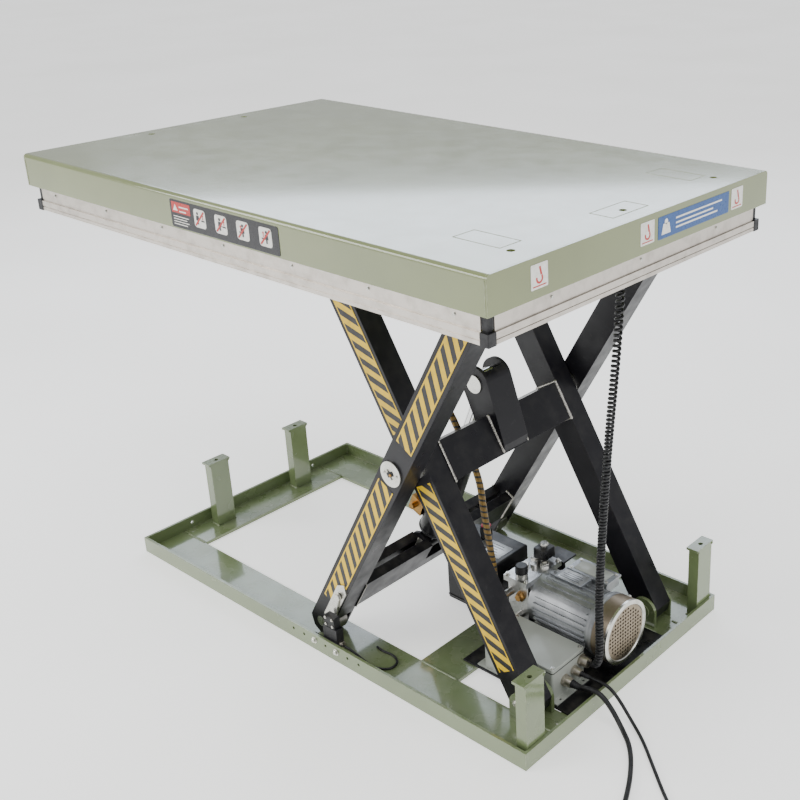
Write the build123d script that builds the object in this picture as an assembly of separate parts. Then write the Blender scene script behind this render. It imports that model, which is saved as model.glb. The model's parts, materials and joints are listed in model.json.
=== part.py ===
"""Electro-hydraulic scissor lift table, 1300 x 800 mm deck, shown raised.

Millimetres, +Z up.  The origin lies on the floor, under the centre of the deck.
+X points to the end that carries the power pack and the fixed pivots, and the
rollers run towards -X when the table goes down.  Every node is written to
parts/NODE.step.
"""
import os
from math import asin, atan2, cos, degrees, hypot, pi, radians, sin, tan

from build123d import *

# ---------------------------------------------------------------- driving sizes
DECK_L, DECK_W, DECK_T = 1300.0, 800.0, 5.0
SKIRT_H, SKIRT_T, DECK_BEND = 66.0, 4.0, 8.0

BASE_X0, BASE_X1, BASE_HALF_W = -580.0, 625.0, 317.5
FLANGE_H, FLANGE_T, PLATE_T = 38.0, 6.0, 8.0
SIDE_PLATE_W, END_PLATE_W = 103.0, 92.0

ARM_D, ARM_W, ARM_WALL = 60.0, 50.0, 5.0
HALF_ARM = 507.5              # centre pivot to either end pivot
LIFT_ANGLE = 59.5             # arm slope in the modelled, raised pose
LOW_TOP_Z = 205.0             # deck height with the table closed
PIVOT_X, PIVOT_Z = 538.5, 42.0  # fixed base pivot
TOP_OFFSET = 55.0             # top pivots under the deck's top face
OUTER_Y, INNER_Y = 231.0, 176.0  # inner face of each arm, from the middle
ROLLER_R, ROLLER_W = 33.7, 38.0
PIVOT_PIN_R, CENTRE_PIN_R, AXLE_R = 15.0, 20.0, 12.0
FIT = 0.05                    # radial play of every pin in its bore
GAP = 0.3                     # free gap between neighbours on different bodies

# ---------------------------------------------------------------- derived places
THETA = radians(LIFT_ANGLE)
CX = PIVOT_X - HALF_ARM * cos(THETA)
CZ = PIVOT_Z + HALF_ARM * sin(THETA)
ROLLER_X = PIVOT_X - 2 * HALF_ARM * cos(THETA)
TOP_PIVOT_Z = PIVOT_Z + 2 * HALF_ARM * sin(THETA)
DECK_Z = TOP_PIVOT_Z + TOP_OFFSET
DECK_UNDER = DECK_Z - DECK_T
LOW_THETA = asin((LOW_TOP_Z - TOP_OFFSET - PIVOT_Z) / (2 * HALF_ARM))

INNER_FRAME = Pos(CX, 0, CZ) * Rot(0, LIFT_ANGLE, 0)
OUTER_FRAME = Pos(CX, 0, CZ) * Rot(0, -LIFT_ANGLE, 0)

# hydraulic cylinder: foot pin in the outer arms' frame, rod pin in the inner arms'
FOOT_S, FOOT_N = -400.0, 0.0
LUG_S, LUG_N, LUG_R = -86.0, 31.0, 36.0
CROSS_TUBE_S = (-18.0, 65.0)
CLIP_Y = -62.0                # hose clip under the cross tube
BORE_R, BARREL_R, ROD_R, EYE_R = 28.0, 35.0, 14.0, 22.0
BARREL_END, HEAD_LENGTH = 289.0, 12.0  # from the foot pin, clear of the lug when closed

# power pack, all along X on one axis
PACK_Y, PACK_Z = 22.0, 96.0
TRAY_TOP = 11.0
HOSE_START = (336.0, -74.0, 134.0)

# junction box
JB_X, JB_Y, JB_Z = (372.0, 552.0), (-152.0, -52.0), (14.0, 84.0)

# cables
CURLY_TOP = (604.0, -12.0, DECK_UNDER - 34.0)
MAINS_R, PENDANT_R, CURLY_R, HOSE_R, SWITCH_R = 5.0, 3.5, 9.0, 7.0, 2.5
COIL_AT, PENDANT_COIL_AT = (915.0, -440.0), (1062.0, -350.0)
COIL_IN, COIL_OUT, COIL_H = 45.0, 65.0, 40.0
PCOIL_IN, PCOIL_OUT, PCOIL_H = 28.0, 49.0, 28.0


# ---------------------------------------------------------------- small helpers
def block(x, y, z):
    """A box between two values on each axis, in any order."""
    lows = [min(pair) for pair in (x, y, z)]
    highs = [max(pair) for pair in (x, y, z)]
    size = [high - low for low, high in zip(lows, highs)]
    mid = [(high + low) / 2 for low, high in zip(lows, highs)]
    return Pos(*mid) * Box(*size)


def bar_x(y, z, x0, x1, radius):
    """A round bar along X."""
    return Pos((x0 + x1) / 2, y, z) * Rot(0, 90, 0) * Cylinder(radius, abs(x1 - x0))


def bar_y(x, z, y0, y1, radius):
    """A round bar along Y."""
    return Pos(x, (y0 + y1) / 2, z) * Rot(90, 0, 0) * Cylinder(radius, abs(y1 - y0))


def bar_z(x, y, z0, z1, radius):
    """A round bar along Z."""
    return Pos(x, y, (z0 + z1) / 2) * Cylinder(radius, abs(z1 - z0))


def profile_y(sketch, y0, y1):
    """Extrude a sketch drawn as (x, z) between two values of Y."""
    plane = Plane(origin=(0, max(y0, y1), 0), x_dir=(1, 0, 0), z_dir=(0, -1, 0))
    return extrude(plane * sketch, amount=abs(y1 - y0))


def corner_radii(points):
    """Bend radii that a chain of straight runs can hold."""
    radii = []
    for a, b, c in zip(points, points[1:], points[2:]):
        one = Vector(*b) - Vector(*a)
        two = Vector(*c) - Vector(*b)
        half_turn = radians(one.get_angle(two)) / 2
        radii.append(0.45 * min(one.length, two.length) / tan(half_turn))
    return radii


def cord_tube(name, points, radius):
    """A plain round cord along straight runs joined by tangent arcs."""
    radii = corner_radii(points)
    path = FilletPolyline(*points, radius=radii)
    start = Plane(origin=path @ 0, z_dir=path % 0)
    tube = sweep(start * Circle(radius), path=path)
    expected = pi * radius**2 * path.length
    print(f"{name}: length {path.length:.0f} mm, volume ratio {tube.volume / expected:.3f}, radii",
          [round(value) for value in radii])
    return tube


def ring(x, y, z0, z1, inner, outer):
    """A flat ring standing on z0, with softened edges."""
    body = bar_z(x, y, z0, z1, outer) - bar_z(x, y, z0 - 1, z1 + 1, inner)
    return fillet(body.edges(), (outer - inner) * 0.2)


# ---------------------------------------------------------------- base frame
def base_rails():
    """Two long rails with their wide roller plates, and the two end rails."""
    nodes = {}
    hole_x = [-25 + 34 * i for i in range(7)]
    for name, side in (("base_rail_front", -1), ("base_rail_rear", 1)):
        edge = side * BASE_HALF_W
        rail = block((BASE_X0, BASE_X1), (edge, edge - side * FLANGE_T), (0, FLANGE_H))
        rail += block((BASE_X0, BASE_X1), (edge, edge - side * SIDE_PLATE_W), (0, PLATE_T))
        if side < 0:
            for x in hole_x:
                rail -= bar_y(x, 24, -BASE_HALF_W - 1, -BASE_HALF_W + FLANGE_T + 1, 3.3)
        nodes[name] = rail
    inner = BASE_HALF_W - SIDE_PLATE_W
    wall = BASE_HALF_W - FLANGE_T
    for name, outer, inward, width in (("base_rail_left", BASE_X0, 1, END_PLATE_W),
                                       ("base_rail_right", BASE_X1, -1, 45.0)):
        face = outer + inward * FLANGE_T
        rail = block((outer, face), (-inner, inner), (0, FLANGE_H))
        rail += block((outer, face), (-wall, wall), (PLATE_T, FLANGE_H))
        rail += block((outer, outer + inward * width), (-inner, inner), (0, PLATE_T))
        nodes[name] = rail
    pads = nodes["base_rail_right"]
    for side in (-1, 1):
        pads += block((495, 582), (side * 162, side * inner), (0, PLATE_T))
        pads -= block((588, 612), (side * 185, side * 193), (-1, PLATE_T + 1))
    nodes["base_rail_right"] = pads
    for y in (-190, 190):
        nodes["base_rail_left"] -= bar_x(y, 22, BASE_X0 - 1, BASE_X0 + FLANGE_T + 1, 4)
    nodes["base_cross_plate"] = block((252, 356), (-inner, inner), (0, PLATE_T))
    return nodes


def support_posts():
    """Four stops that carry the closed deck: rectangular tubes under drilled caps."""
    posts = []
    wall_y = BASE_HALF_W - FLANGE_T
    for x, y in ((606, -(wall_y - 31)), (606, wall_y - 31), (-541, -121), (-541, 121)):
        tube = block((x - 12.5, x + 12.5), (y - 25, y + 25), (PLATE_T, 173))
        tube -= block((x - 10, x + 10), (y - 22.5, y + 22.5), (PLATE_T - 1, 172))
        cap = block((x - 16, x + 12.5), (y - 30, y + 30), (173, 178))
        posts.append(tube + cap - bar_z(x, y, 170, 180, 5))
    return {"support_posts": posts}


def base_pivots():
    """Clevis plates and pins that hold the inner arms' feet."""
    pieces = []
    shape = Pos(PIVOT_X, PIVOT_Z) * Circle(30)
    shape += Pos(PIVOT_X, (PIVOT_Z + PLATE_T) / 2) * Rectangle(60, PIVOT_Z - PLATE_T)
    for side in (-1, 1):
        for y0, y1 in ((168.0, INNER_Y - 0.5), (INNER_Y + ARM_W + 0.5, 230.5)):
            plate = profile_y(shape, side * y0, side * y1)
            pieces.append(plate - bar_y(PIVOT_X, PIVOT_Z, side * 160, side * 240, 15))
        pieces.append(bar_y(PIVOT_X, PIVOT_Z, side * 166, side * 230.5, 15))
    return {"base_pivot_brackets": pieces}


# ---------------------------------------------------------------- scissor arms
def arm(y0, y1, centre_r):
    """One box-section arm: fork for a roller at -X, pin bore at +X, in its own frame."""
    end = HALF_ARM + 28
    half = ARM_D / 2
    cut = 19.0
    outline = Polygon((-end, -half + cut), (-end + cut, -half), (end - cut, -half), (end, -half + cut),
                      (end, half - cut), (end - cut, half), (-end + cut, half), (-end, half - cut),
                      align=None)
    body = profile_y(outline, y0, y1)
    low, high = min(y0, y1) + ARM_WALL, max(y0, y1) - ARM_WALL
    wall = half - ARM_WALL
    body -= block((-HALF_ARM + 55, -45), (low, high), (-wall, wall))
    body -= block((45, HALF_ARM - 45), (low, high), (-wall, wall))
    fork_low, fork_high = min(y0, y1) + 5.5, max(y0, y1) - 5.5
    body -= block((-end - 1, -HALF_ARM + 40), (fork_low, fork_high), (-half - 1, half + 1))
    for s, radius in ((0, centre_r), (HALF_ARM, PIVOT_PIN_R + FIT), (-HALF_ARM, AXLE_R)):
        body -= bar_y(s, 0, min(y0, y1) - 1, max(y0, y1) + 1, radius)
    return body


def roller_at(x, z, side, inner_y):
    """A plain steel roller with its bore, in the fork of an arm."""
    mid = side * (inner_y + ARM_W / 2)
    wheel = bar_y(x, z, mid - ROLLER_W / 2, mid + ROLLER_W / 2, ROLLER_R)
    wheel = chamfer(wheel.edges().filter_by(GeomType.CIRCLE), 1.5)
    return wheel - bar_y(x, z, mid - ROLLER_W, mid + ROLLER_W, 12 + FIT)


def inner_arms():
    """Inner pair of arms with the cross tube, the rod lug, pins and hose clip."""
    nodes = {}
    place = INNER_FRAME
    pins = []
    for name, side in (("inner_arm_front", -1), ("inner_arm_rear", 1)):
        y0, y1 = side * INNER_Y, side * (INNER_Y + ARM_W)
        nodes[name] = place * arm(y0, y1, 20)
        face = side * (OUTER_Y + ARM_W)
        pin = bar_y(0, 0, side * (INNER_Y + 2), face + side * 0.6, 20)
        disc = bar_y(0, 0, face + side * 0.6, face + side * 4, 26)
        pin += disc - block((-11, 11), (face + side * 2, face + side * 5), (-4, 4))
        pins.append(place * pin)
        pins.append(place * bar_y(-HALF_ARM, 0, y0, y1, 12))
        washer = bar_y(0, 0, side * (INNER_Y + ARM_W + 0.3), side * (OUTER_Y - 0.3), 32)
        pins.append(place * (washer - bar_y(0, 0, side * 200, side * 250, CENTRE_PIN_R)))
        stub = bar_y(LUG_S, LUG_N, side * 27.5, side * 35, 14)
        stub += bar_y(LUG_S, LUG_N, side * 35, side * 38, 19)
        pins.append(place * stub)
    nodes["inner_arm_pins"] = pins
    (s0, s1), half = CROSS_TUBE_S, ARM_D / 2
    tube = block((s0, s1), (-INNER_Y, INNER_Y), (-half, half))
    inside = half - ARM_WALL
    tube -= block((s0 + ARM_WALL, s1 - ARM_WALL), (-INNER_Y - 1, INNER_Y + 1), (-inside, inside))
    nodes["inner_cross_tube"] = place * tube
    nodes["cylinder_lug"] = place * rod_lug()
    clip_n = -half - HOSE_R - 2.5
    clip = bar_x(CLIP_Y, clip_n, 30, 46, HOSE_R + 2.5)
    clip += block((30, 46), (CLIP_Y - 9.5, CLIP_Y + 9.5), (clip_n, -half))
    pins.append(place * (clip - bar_x(CLIP_Y, clip_n, 29, 47, HOSE_R)))
    return nodes


def rod_lug():
    """Two round-topped plates with a wrapper between them, in the inner arms' frame."""
    outline = make_hull((Pos(LUG_S, LUG_N) * Circle(LUG_R) + Polygon(
        (-18, -12), (-18, 30), (63, 30), (50, 38), align=None)).edges())
    inside = offset(outline, -8)
    tube_space = block((CROSS_TUBE_S[0], 66), (-60, 60), (-31, ARM_D / 2))
    lug = profile_y(outline, -35, -27) + profile_y(outline, 27, 35)
    band = profile_y(outline - inside, -27, 27)
    lug += band & block((LUG_S - 14, 64), (-27, 27), (28, 90))
    lug -= bar_y(LUG_S, LUG_N, -40, 40, 14)
    return lug - tube_space


def outer_arms():
    """Outer pair of arms with the lower cross beam, roller pins and the switch cam."""
    nodes = {}
    place = OUTER_FRAME
    pins = [place * bar_y(FOOT_S, FOOT_N, -36, 36, 12)]
    for name, side in (("outer_arm_front", -1), ("outer_arm_rear", 1)):
        y0, y1 = side * OUTER_Y, side * (OUTER_Y + ARM_W)
        nodes[name] = place * arm(y0, y1, 20 + FIT)
        pins.append(place * bar_y(-HALF_ARM, 0, y0, y1, 12))
    nodes["outer_arm_pins"] = pins
    half = ARM_D / 2
    beam = block((-453, -373), (-OUTER_Y, OUTER_Y), (-half, -8))
    beam += block((-453, -393), (-OUTER_Y, OUTER_Y), (8, half))
    beam += block((-453, -433), (-60, 60), (-8, 8))
    beam -= block((-424, -370), (-36, 36), (-half - 1, half + 1))
    for side in (-1, 1):
        cheek = block((-424, -378), (side * 28, side * 36), (-26, 26))
        beam += chamfer(cheek.edges().filter_by(Axis.Y).group_by(Axis.X)[-1], 12)
    nodes["outer_cross_beam"] = place * (beam - bar_y(FOOT_S, FOOT_N, -40, 40, 12))
    cam = Polygon((-478, -24), (-470, -28), (-368, -28), (-352, -14), (-368, 0), (-470, 0),
                  (-478, -4), align=None)
    face = -(OUTER_Y + ARM_W)
    nodes["switch_cam"] = place * profile_y(cam, face - 4, face)
    return nodes


def rollers():
    """Four rollers: two on the base plates, two under the deck."""
    nodes = {}
    for word, side in (("front", -1), ("rear", 1)):
        nodes[f"base_roller_{word}"] = roller_at(ROLLER_X, PIVOT_Z, side, OUTER_Y)
        nodes[f"deck_roller_{word}"] = roller_at(ROLLER_X, TOP_PIVOT_Z, side, INNER_Y)
    return nodes


# ---------------------------------------------------------------- hydraulic cylinder
def cylinder_line():
    """Foot pin, slope and length of the cylinder in the modelled pose."""
    foot_x = CX + FOOT_S * cos(THETA) - FOOT_N * sin(THETA)
    foot_z = CZ + FOOT_S * sin(THETA) + FOOT_N * cos(THETA)
    eye_x = CX + LUG_S * cos(THETA) + LUG_N * sin(THETA)
    eye_z = CZ - LUG_S * sin(THETA) + LUG_N * cos(THETA)
    slope = degrees(atan2(eye_z - foot_z, eye_x - foot_x))
    return foot_x, foot_z, slope, hypot(eye_x - foot_x, eye_z - foot_z)


def hydraulic_cylinder():
    """Barrel with its foot eye and head, burst valve with a brass union, rod with piston."""
    foot_x, foot_z, slope, length = cylinder_line()
    place = Pos(foot_x, 0, foot_z) * Rot(0, -slope, 0)
    barrel = bar_y(0, 0, -27.5, 27.5, 20) + block((0, 32), (-20, 20), (-15, 15))
    barrel += bar_x(0, 0, 30, BARREL_END - HEAD_LENGTH, BARREL_R)
    barrel += bar_x(0, 0, BARREL_END - HEAD_LENGTH - 2, BARREL_END, BARREL_R + 2)
    barrel -= bar_x(0, 0, 38, BARREL_END - HEAD_LENGTH, BORE_R)
    barrel -= bar_x(0, 0, BARREL_END - HEAD_LENGTH - 5, BARREL_END + 1, ROD_R + FIT)
    barrel -= bar_y(0, 0, -30, 30, 12 + FIT)
    valve = block((56, 92), (-28, 4), (BARREL_R - 6, BARREL_R + 30)) - bar_x(0, 0, 50, 100, BARREL_R)
    union = bar_x(-12, 51, 92, 100, 11) + bar_x(-12, 51, 100, 122, 8.5)
    union += bar_y(74, 51, -40, -28, 7)
    piston_at = length - 286.2
    rod = bar_x(0, 0, piston_at, piston_at + 24, BORE_R - FIT)
    rod += bar_x(0, 0, piston_at, length - 10, ROD_R)
    rod += bar_y(length, 0, -26.5, 26.5, EYE_R)
    rod -= bar_y(length, 0, -30, 30, 14)
    pin = bar_y(length, 0, -26.7, 26.7, 14)
    return {"cylinder_barrel": place * barrel, "burst_valve": [place * valve, place * union],
            "cylinder_rod": [place * rod, place * pin]}


# ---------------------------------------------------------------- deck
def deck():
    """Folded deck sheet, end plates, underframe, top pivots and labels."""
    half_l, half_w = DECK_L / 2, DECK_W / 2
    low = DECK_Z - SKIRT_H
    sheet = block((-half_l + SKIRT_T, half_l - SKIRT_T), (-half_w, half_w), (low, DECK_Z))
    bends = sheet.edges().filter_by(Axis.X).group_by(Axis.Z)[-1]
    sheet = fillet(bends, DECK_BEND)
    inside = half_w - SKIRT_T
    hollow = block((-half_l - 1, half_l + 1), (-inside, inside), (low - 1, DECK_UNDER))
    hollow = fillet(hollow.edges().filter_by(Axis.X).group_by(Axis.Z)[-1], DECK_BEND - 3)
    sheet -= hollow
    holes = [(598, -288), (598, 0), (598, 288), (-611, -124), (-611, 124)]
    for x, y in holes:
        sheet -= bar_z(x, y, DECK_UNDER - 1, DECK_Z + 1, 7)
    ends = []
    for side in (-1, 1):
        x = side * half_l
        plate = block((x, x - side * SKIRT_T), (-half_w, half_w), (low, DECK_Z))
        ends.append(fillet(plate.edges().filter_by(Axis.X).group_by(Axis.Z)[-1], DECK_BEND))
    track_under = TOP_PIVOT_Z + ROLLER_R + GAP
    frame = [block((-612, 160), (side * 180, side * 222), (track_under, DECK_UNDER)) for side in (-1, 1)]
    frame += [block((x - 20, x + 20), (-176, 176), (DECK_UNDER - 14, DECK_UNDER)) for x in (-330, 420)]
    frame.append(bar_z(CURLY_TOP[0], CURLY_TOP[1], CURLY_TOP[2], DECK_UNDER, 13))
    return {"deck_sheet": sheet, "deck_end_plates": ends, "deck_underframe": frame,
            "deck_pivot_brackets": deck_pivots(), "deck_labels": deck_labels()}


def deck_pivots():
    """Clevis plates under the deck and the pins that hold the outer arms' tops."""
    pieces = []
    shape = Pos(PIVOT_X, TOP_PIVOT_Z) * Circle(26)
    height = DECK_UNDER - TOP_PIVOT_Z
    shape += Pos(PIVOT_X, TOP_PIVOT_Z + height / 2) * Rectangle(52, height)
    for side in (-1, 1):
        for y0, y1 in ((OUTER_Y - 4.5, OUTER_Y - 0.5), (OUTER_Y + ARM_W + 0.5, OUTER_Y + ARM_W + 6.5)):
            plate = profile_y(shape, side * y0, side * y1)
            pieces.append(plate - bar_y(PIVOT_X, TOP_PIVOT_Z, side * 200, side * 300, 15))
        pieces.append(bar_y(PIVOT_X, TOP_PIVOT_Z, side * (OUTER_Y - 4.5), side * (OUTER_Y + ARM_W + 8), 15))
    return pieces


def deck_labels():
    """Blank warning strip, capacity plate and three lifting-point stickers."""
    thick = 0.5
    top, low = DECK_Z - 11, DECK_Z - 63
    face_y = -DECK_W / 2
    labels = [block((-131, 180), (face_y, face_y - thick), (low, top))]
    face_x = DECK_L / 2
    for y0, y1 in ((31, 259), (-304, -263), (-20, 19), (270, 307)):
        labels.append(block((face_x, face_x + thick), (y0, y1), (DECK_Z - 51, DECK_Z - 11)))
    return labels


def safety_frame():
    """Sprung trip edge round the skirt: four aluminium profiles, corner caps and guides."""
    out_x, out_y = DECK_L / 2 - 9, DECK_W / 2 - 9
    top = DECK_Z - SKIRT_H + 20
    low = DECK_Z - 117
    bead_top = DECK_Z - 97

    def profile(half_length, out):
        web = block((-half_length, half_length), (out - 3, out - 5.5), (bead_top - 3, top))
        bead = block((-half_length, half_length), (out, out - 12), (low, bead_top))
        groove = block((-half_length - 1, half_length + 1), (out + 1, out - 1.5), (low + 7, low + 9))
        return web + bead - groove

    long_half, short_half = out_x - 18, out_y - 18
    front = Rot(0, 0, 180) * profile(long_half, out_y)
    rear = profile(long_half, out_y)
    right = Rot(0, 0, -90) * profile(short_half, out_x)
    left = Rot(0, 0, 90) * profile(short_half, out_x)
    corners = []
    guides = []
    for sx in (-1, 1):
        for sy in (-1, 1):
            cap = block((sx * (out_x + 1), sx * (out_x - 17.7)), (sy * (out_y + 1), sy * (out_y - 17.7)),
                        (low - 1, bead_top + 1))
            corners.append(fillet(cap.edges().filter_by(Axis.Z), 2))
            leg = block((sx * (out_x - 5), sx * (out_x - 16)), (sy * (out_y - 5), sy * (out_y - 8)),
                        (bead_top + 1, top - 2))
            leg += block((sx * (out_x - 5), sx * (out_x - 8)), (sy * (out_y - 5), sy * (out_y - 16)),
                         (bead_top + 1, top - 2))
            guides.append(leg)
    return {"safety_edge_long": [front, rear], "safety_edge_short": [left, right],
            "safety_corners": corners + guides}


# ---------------------------------------------------------------- power pack
def power_pack():
    """Tray with a clamp bracket, oil tank with its filler, valve block with fittings, motor."""
    y, z = PACK_Y, PACK_Z
    tray = block((320, 612), (-161, 156), (PLATE_T, TRAY_TOP))
    clamp = block((330, 384), (y + 68, y + 74), (TRAY_TOP, z + 40))
    clamp += block((330, 384), (y + 68, y + 112), (z + 40, z + 44))
    clamp += block((330, 384), (y + 68, y + 100), (TRAY_TOP, TRAY_TOP + 4))
    tank = block((150, 300), (y - 50, y + 50), (20, 162))
    tank = fillet(tank.edges(), 4)
    tank += bar_x(y, z, 299, 325, 42) + bar_z(207, y + 19, 161, 164, 10)
    foot = block((262, 292), (y - 40, y + 40), (PLATE_T, 21))
    cap = bar_z(207, y + 19, 164.2, 188, 12.5) + bar_z(207, y + 19, 188, 190.5, 11)
    valve_block = block((325, 387), (y - 58, y + 58), (140, 152))
    valve_block += block((329, 383), (y - 48, y + 48), (46, 140))
    valve_block += block((340, 372), (y - 30, y + 30), (TRAY_TOP, 46))
    fittings = [bar_z(356, y - 36, 152, 158, 13), bar_z(356, y + 4, 152, 160, 8),
                bar_z(356, y + 38, 152, 162, 9), bar_y(364, 66, y - 48, y - 62, 8)]
    elbow_x, elbow_y, elbow_z = HOSE_START[0], HOSE_START[1], HOSE_START[2] - 22
    elbow = bar_y(elbow_x, elbow_z, y - 48, elbow_y, 9)
    elbow += Pos(elbow_x, elbow_y, elbow_z) * Sphere(9.5)
    elbow += bar_z(elbow_x, elbow_y, elbow_z, HOSE_START[2], 8)
    fittings.append(elbow)
    return {"power_pack_tray": [tray, clamp], "oil_tank": [tank, foot], "filler_cap": cap,
            "valve_block": valve_block, "valve_fittings": fittings} | electric_motor()


def electric_motor():
    """Finned motor body, perforated fan cover, rotor and terminal box."""
    y, z = PACK_Y, PACK_Z
    body = bar_x(y, z, 387, 402, 56) + bar_x(y, z, 402, 544, 57) + bar_x(y, z, 544, 562, 65)
    fins = 30
    for i in range(fins):
        angle = 360 / fins * i
        fin = block((404, 536), (-1.3, 1.3), (54, 62))
        body += Pos(0, y, z) * Rot(angle, 0, 0) * fin
    body += block((418, 488), (y - 4, y + 34), (z + 50, z + 63))
    body += block((430, 520), (y + 34, y + 56), (z + 18, z + 40))
    for x in (425, 505):
        body += block((x, x + 22), (y - 42, y + 42), (TRAY_TOP, z - 50))
    body -= bar_x(y, z, 500, 563, 9)
    cover = bar_x(y, z, 562, 598, 68) - bar_x(y, z, 560, 595.5, 65.5)
    for row in range(-6, 7):
        for column in range(-6, 7):
            hole_y, hole_z = column * 8.5, row * 8.5
            if hypot(hole_y, hole_z) < 53:
                cover -= bar_x(y + hole_y, z + hole_z, 594, 599, 2.6)
    rotor = bar_x(y, z, 504, 588, 8.5) + bar_x(y, z, 570, 586, 18)
    for i in range(7):
        blade = block((570, 588), (-1.5, 1.5), (16, 56))
        rotor += Pos(0, y, z) * Rot(360 / 7 * i, 0, 0) * blade
    box = block((425, 523), (y + 36, y + 78), (z + 40, z + 61)) + \
        block((421, 527), (y + 33, y + 81), (z + 61, z + 65))
    body -= box
    return {"motor_housing": body, "fan_cover": cover, "motor_rotor": rotor, "terminal_box": box}


def junction_box():
    """Control enclosure on the tray with its lid, glands and fasteners."""
    (x0, x1), (y0, y1), (z0, z1) = JB_X, JB_Y, JB_Z
    shell = block((x0, x1), (y0, y1), (z0, z1 - 8))
    shell = fillet(shell.edges().filter_by(Axis.Z), 5)
    shell -= block((x0 + 3, x1 - 3), (y0 + 3, y1 - 3), (z0 + 3, z1))
    feet = block((x0 - 16, x1 + 14), (y0 - 4, y1 + 4), (TRAY_TOP, z0))
    for x in (x0 - 8, x1 + 7):
        for yy in (y0 + 14, y1 - 14):
            feet -= bar_z(x, yy, TRAY_TOP - 1, z0 + 1, 3)
    shell += feet
    lid = block((x0, x1), (y0, y1), (z1 - 8, z1))
    lid = fillet(lid.edges().filter_by(Axis.Z), 5)
    lid = fillet(lid.edges().group_by(Axis.Z)[-1], 1.5)
    glands = []
    for y, z, r in ((-117, 44, 9), (-88, 50, 7.5), (-64, 60, 9.5)):
        shell -= bar_x(y, z, x1 - 4, x1 + 1, r * 0.62)
        glands.append(bar_x(y, z, x1, x1 + 5, r * 1.25) + bar_x(y, z, x1 + 5, x1 + 20, r))
    fasteners = []
    for x in (x0 + 7, x1 - 7):
        for yy in (y0 + 7, y1 - 7):
            fasteners.append(bar_z(x, yy, z1, z1 + 1.2, 3))
    for x in (43, 111):
        fasteners.append(bar_y(x, 24, -BASE_HALF_W, -BASE_HALF_W - 4, 5))
    return {"junction_box": shell, "junction_box_lid": lid, "cable_glands": glands,
            "fasteners": fasteners}


def limit_switch():
    """Top-limit switch on the front rail, with a sprung roller lever."""
    wall = -BASE_HALF_W + FLANGE_T
    body = block((36, 118), (wall, wall + 4), (10, 36)) + block((62, 104), (wall + 4, wall + 22), (14, 66))
    body += block((68, 98), (wall + 5, wall + 21), (66, 92))
    body += bar_x(wall + 13, 30, 104, 114, 6)
    pivot_z = 82.0
    lever = bar_y(83, pivot_z, wall + 21.3, wall + 25.3, 7)
    lever += Pos(83, wall + 23.3, pivot_z) * Rot(0, 14, 0) * block((-2.5, 2.5), (-1.5, 1.5), (0, 56))
    tip = (83 + 56 * sin(radians(14)), pivot_z + 56 * cos(radians(14)))
    lever += bar_y(tip[0], tip[1], wall + 18.5, wall + 24.8, 8)
    route = [(114, wall + 13, 30), (134, wall + 13, 30), (158, wall + 15, 22), (182, wall + 18, 12.5),
             (208, wall + 22, 10.8), (228, wall + 38, 10.8), (222, wall + 62, 10.8),
             (196, wall + 72, 10.8), (168, wall + 66, 10.8), (150, wall + 70, 10.8)]
    cable = cord_tube("limit_switch_cable", route, SWITCH_R)
    return {"limit_switch_body": body, "limit_switch_lever": lever, "limit_switch_cable": cable}


# ---------------------------------------------------------------- cords
def frame_point(place, x, y, z):
    """A point of a frame, in table coordinates."""
    where = (place * Pos(x, y, z)).position
    return (where.X, where.Y, where.Z)


def hoses():
    """Pressure hose in two stretches that meet in the clip under the cross tube."""
    clip_n = -ARM_D / 2 - HOSE_R - 2.5
    clip_before, clip_in, clip_out, clip_after = (
        frame_point(INNER_FRAME, s, CLIP_Y, clip_n) for s in (90, 46, 30, -14))
    foot_x, foot_z, slope, _ = cylinder_line()
    barrel = Pos(foot_x, 0, foot_z) * Rot(0, -slope, 0)
    union = frame_point(barrel, 122, -12, 51)
    union_before = frame_point(barrel, 170, -12, 51)
    lower = [HOSE_START, (336, -74, 176), (328, -77, 245), (311, -73, 318), clip_before, clip_in]
    upper = [clip_out, clip_after, (217, -60, 504), (187, -55, 521), (154, -46, 518), (127, -36, 490),
             (112, -26, 438), (104, -18, 374), union_before, union]
    return {"hydraulic_hose_lower": cord_tube("hydraulic_hose_lower", lower, HOSE_R),
            "hydraulic_hose_upper": cord_tube("hydraulic_hose_upper", upper, HOSE_R)}


def curly_cord():
    """Coiled control cord from the junction box up to the deck, as its outer tube."""
    x1 = JB_X[1]
    top_x, top_y, top_z = CURLY_TOP
    points = [(x1 + 20, -64, 60), (x1 + 30, -64, 60), (x1 + 42, -64, 70), (x1 + 46, -63, 95),
              (x1 + 43, -60, 135), (x1 + 38, -55, 215), (x1 + 37, -46, 340), (x1 + 41, -32, 540),
              (x1 + 50, -14, 760), (top_x, top_y, top_z - 60), CURLY_TOP]
    return {"curly_cord": cord_tube("curly_cord", points, CURLY_R)}


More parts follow.
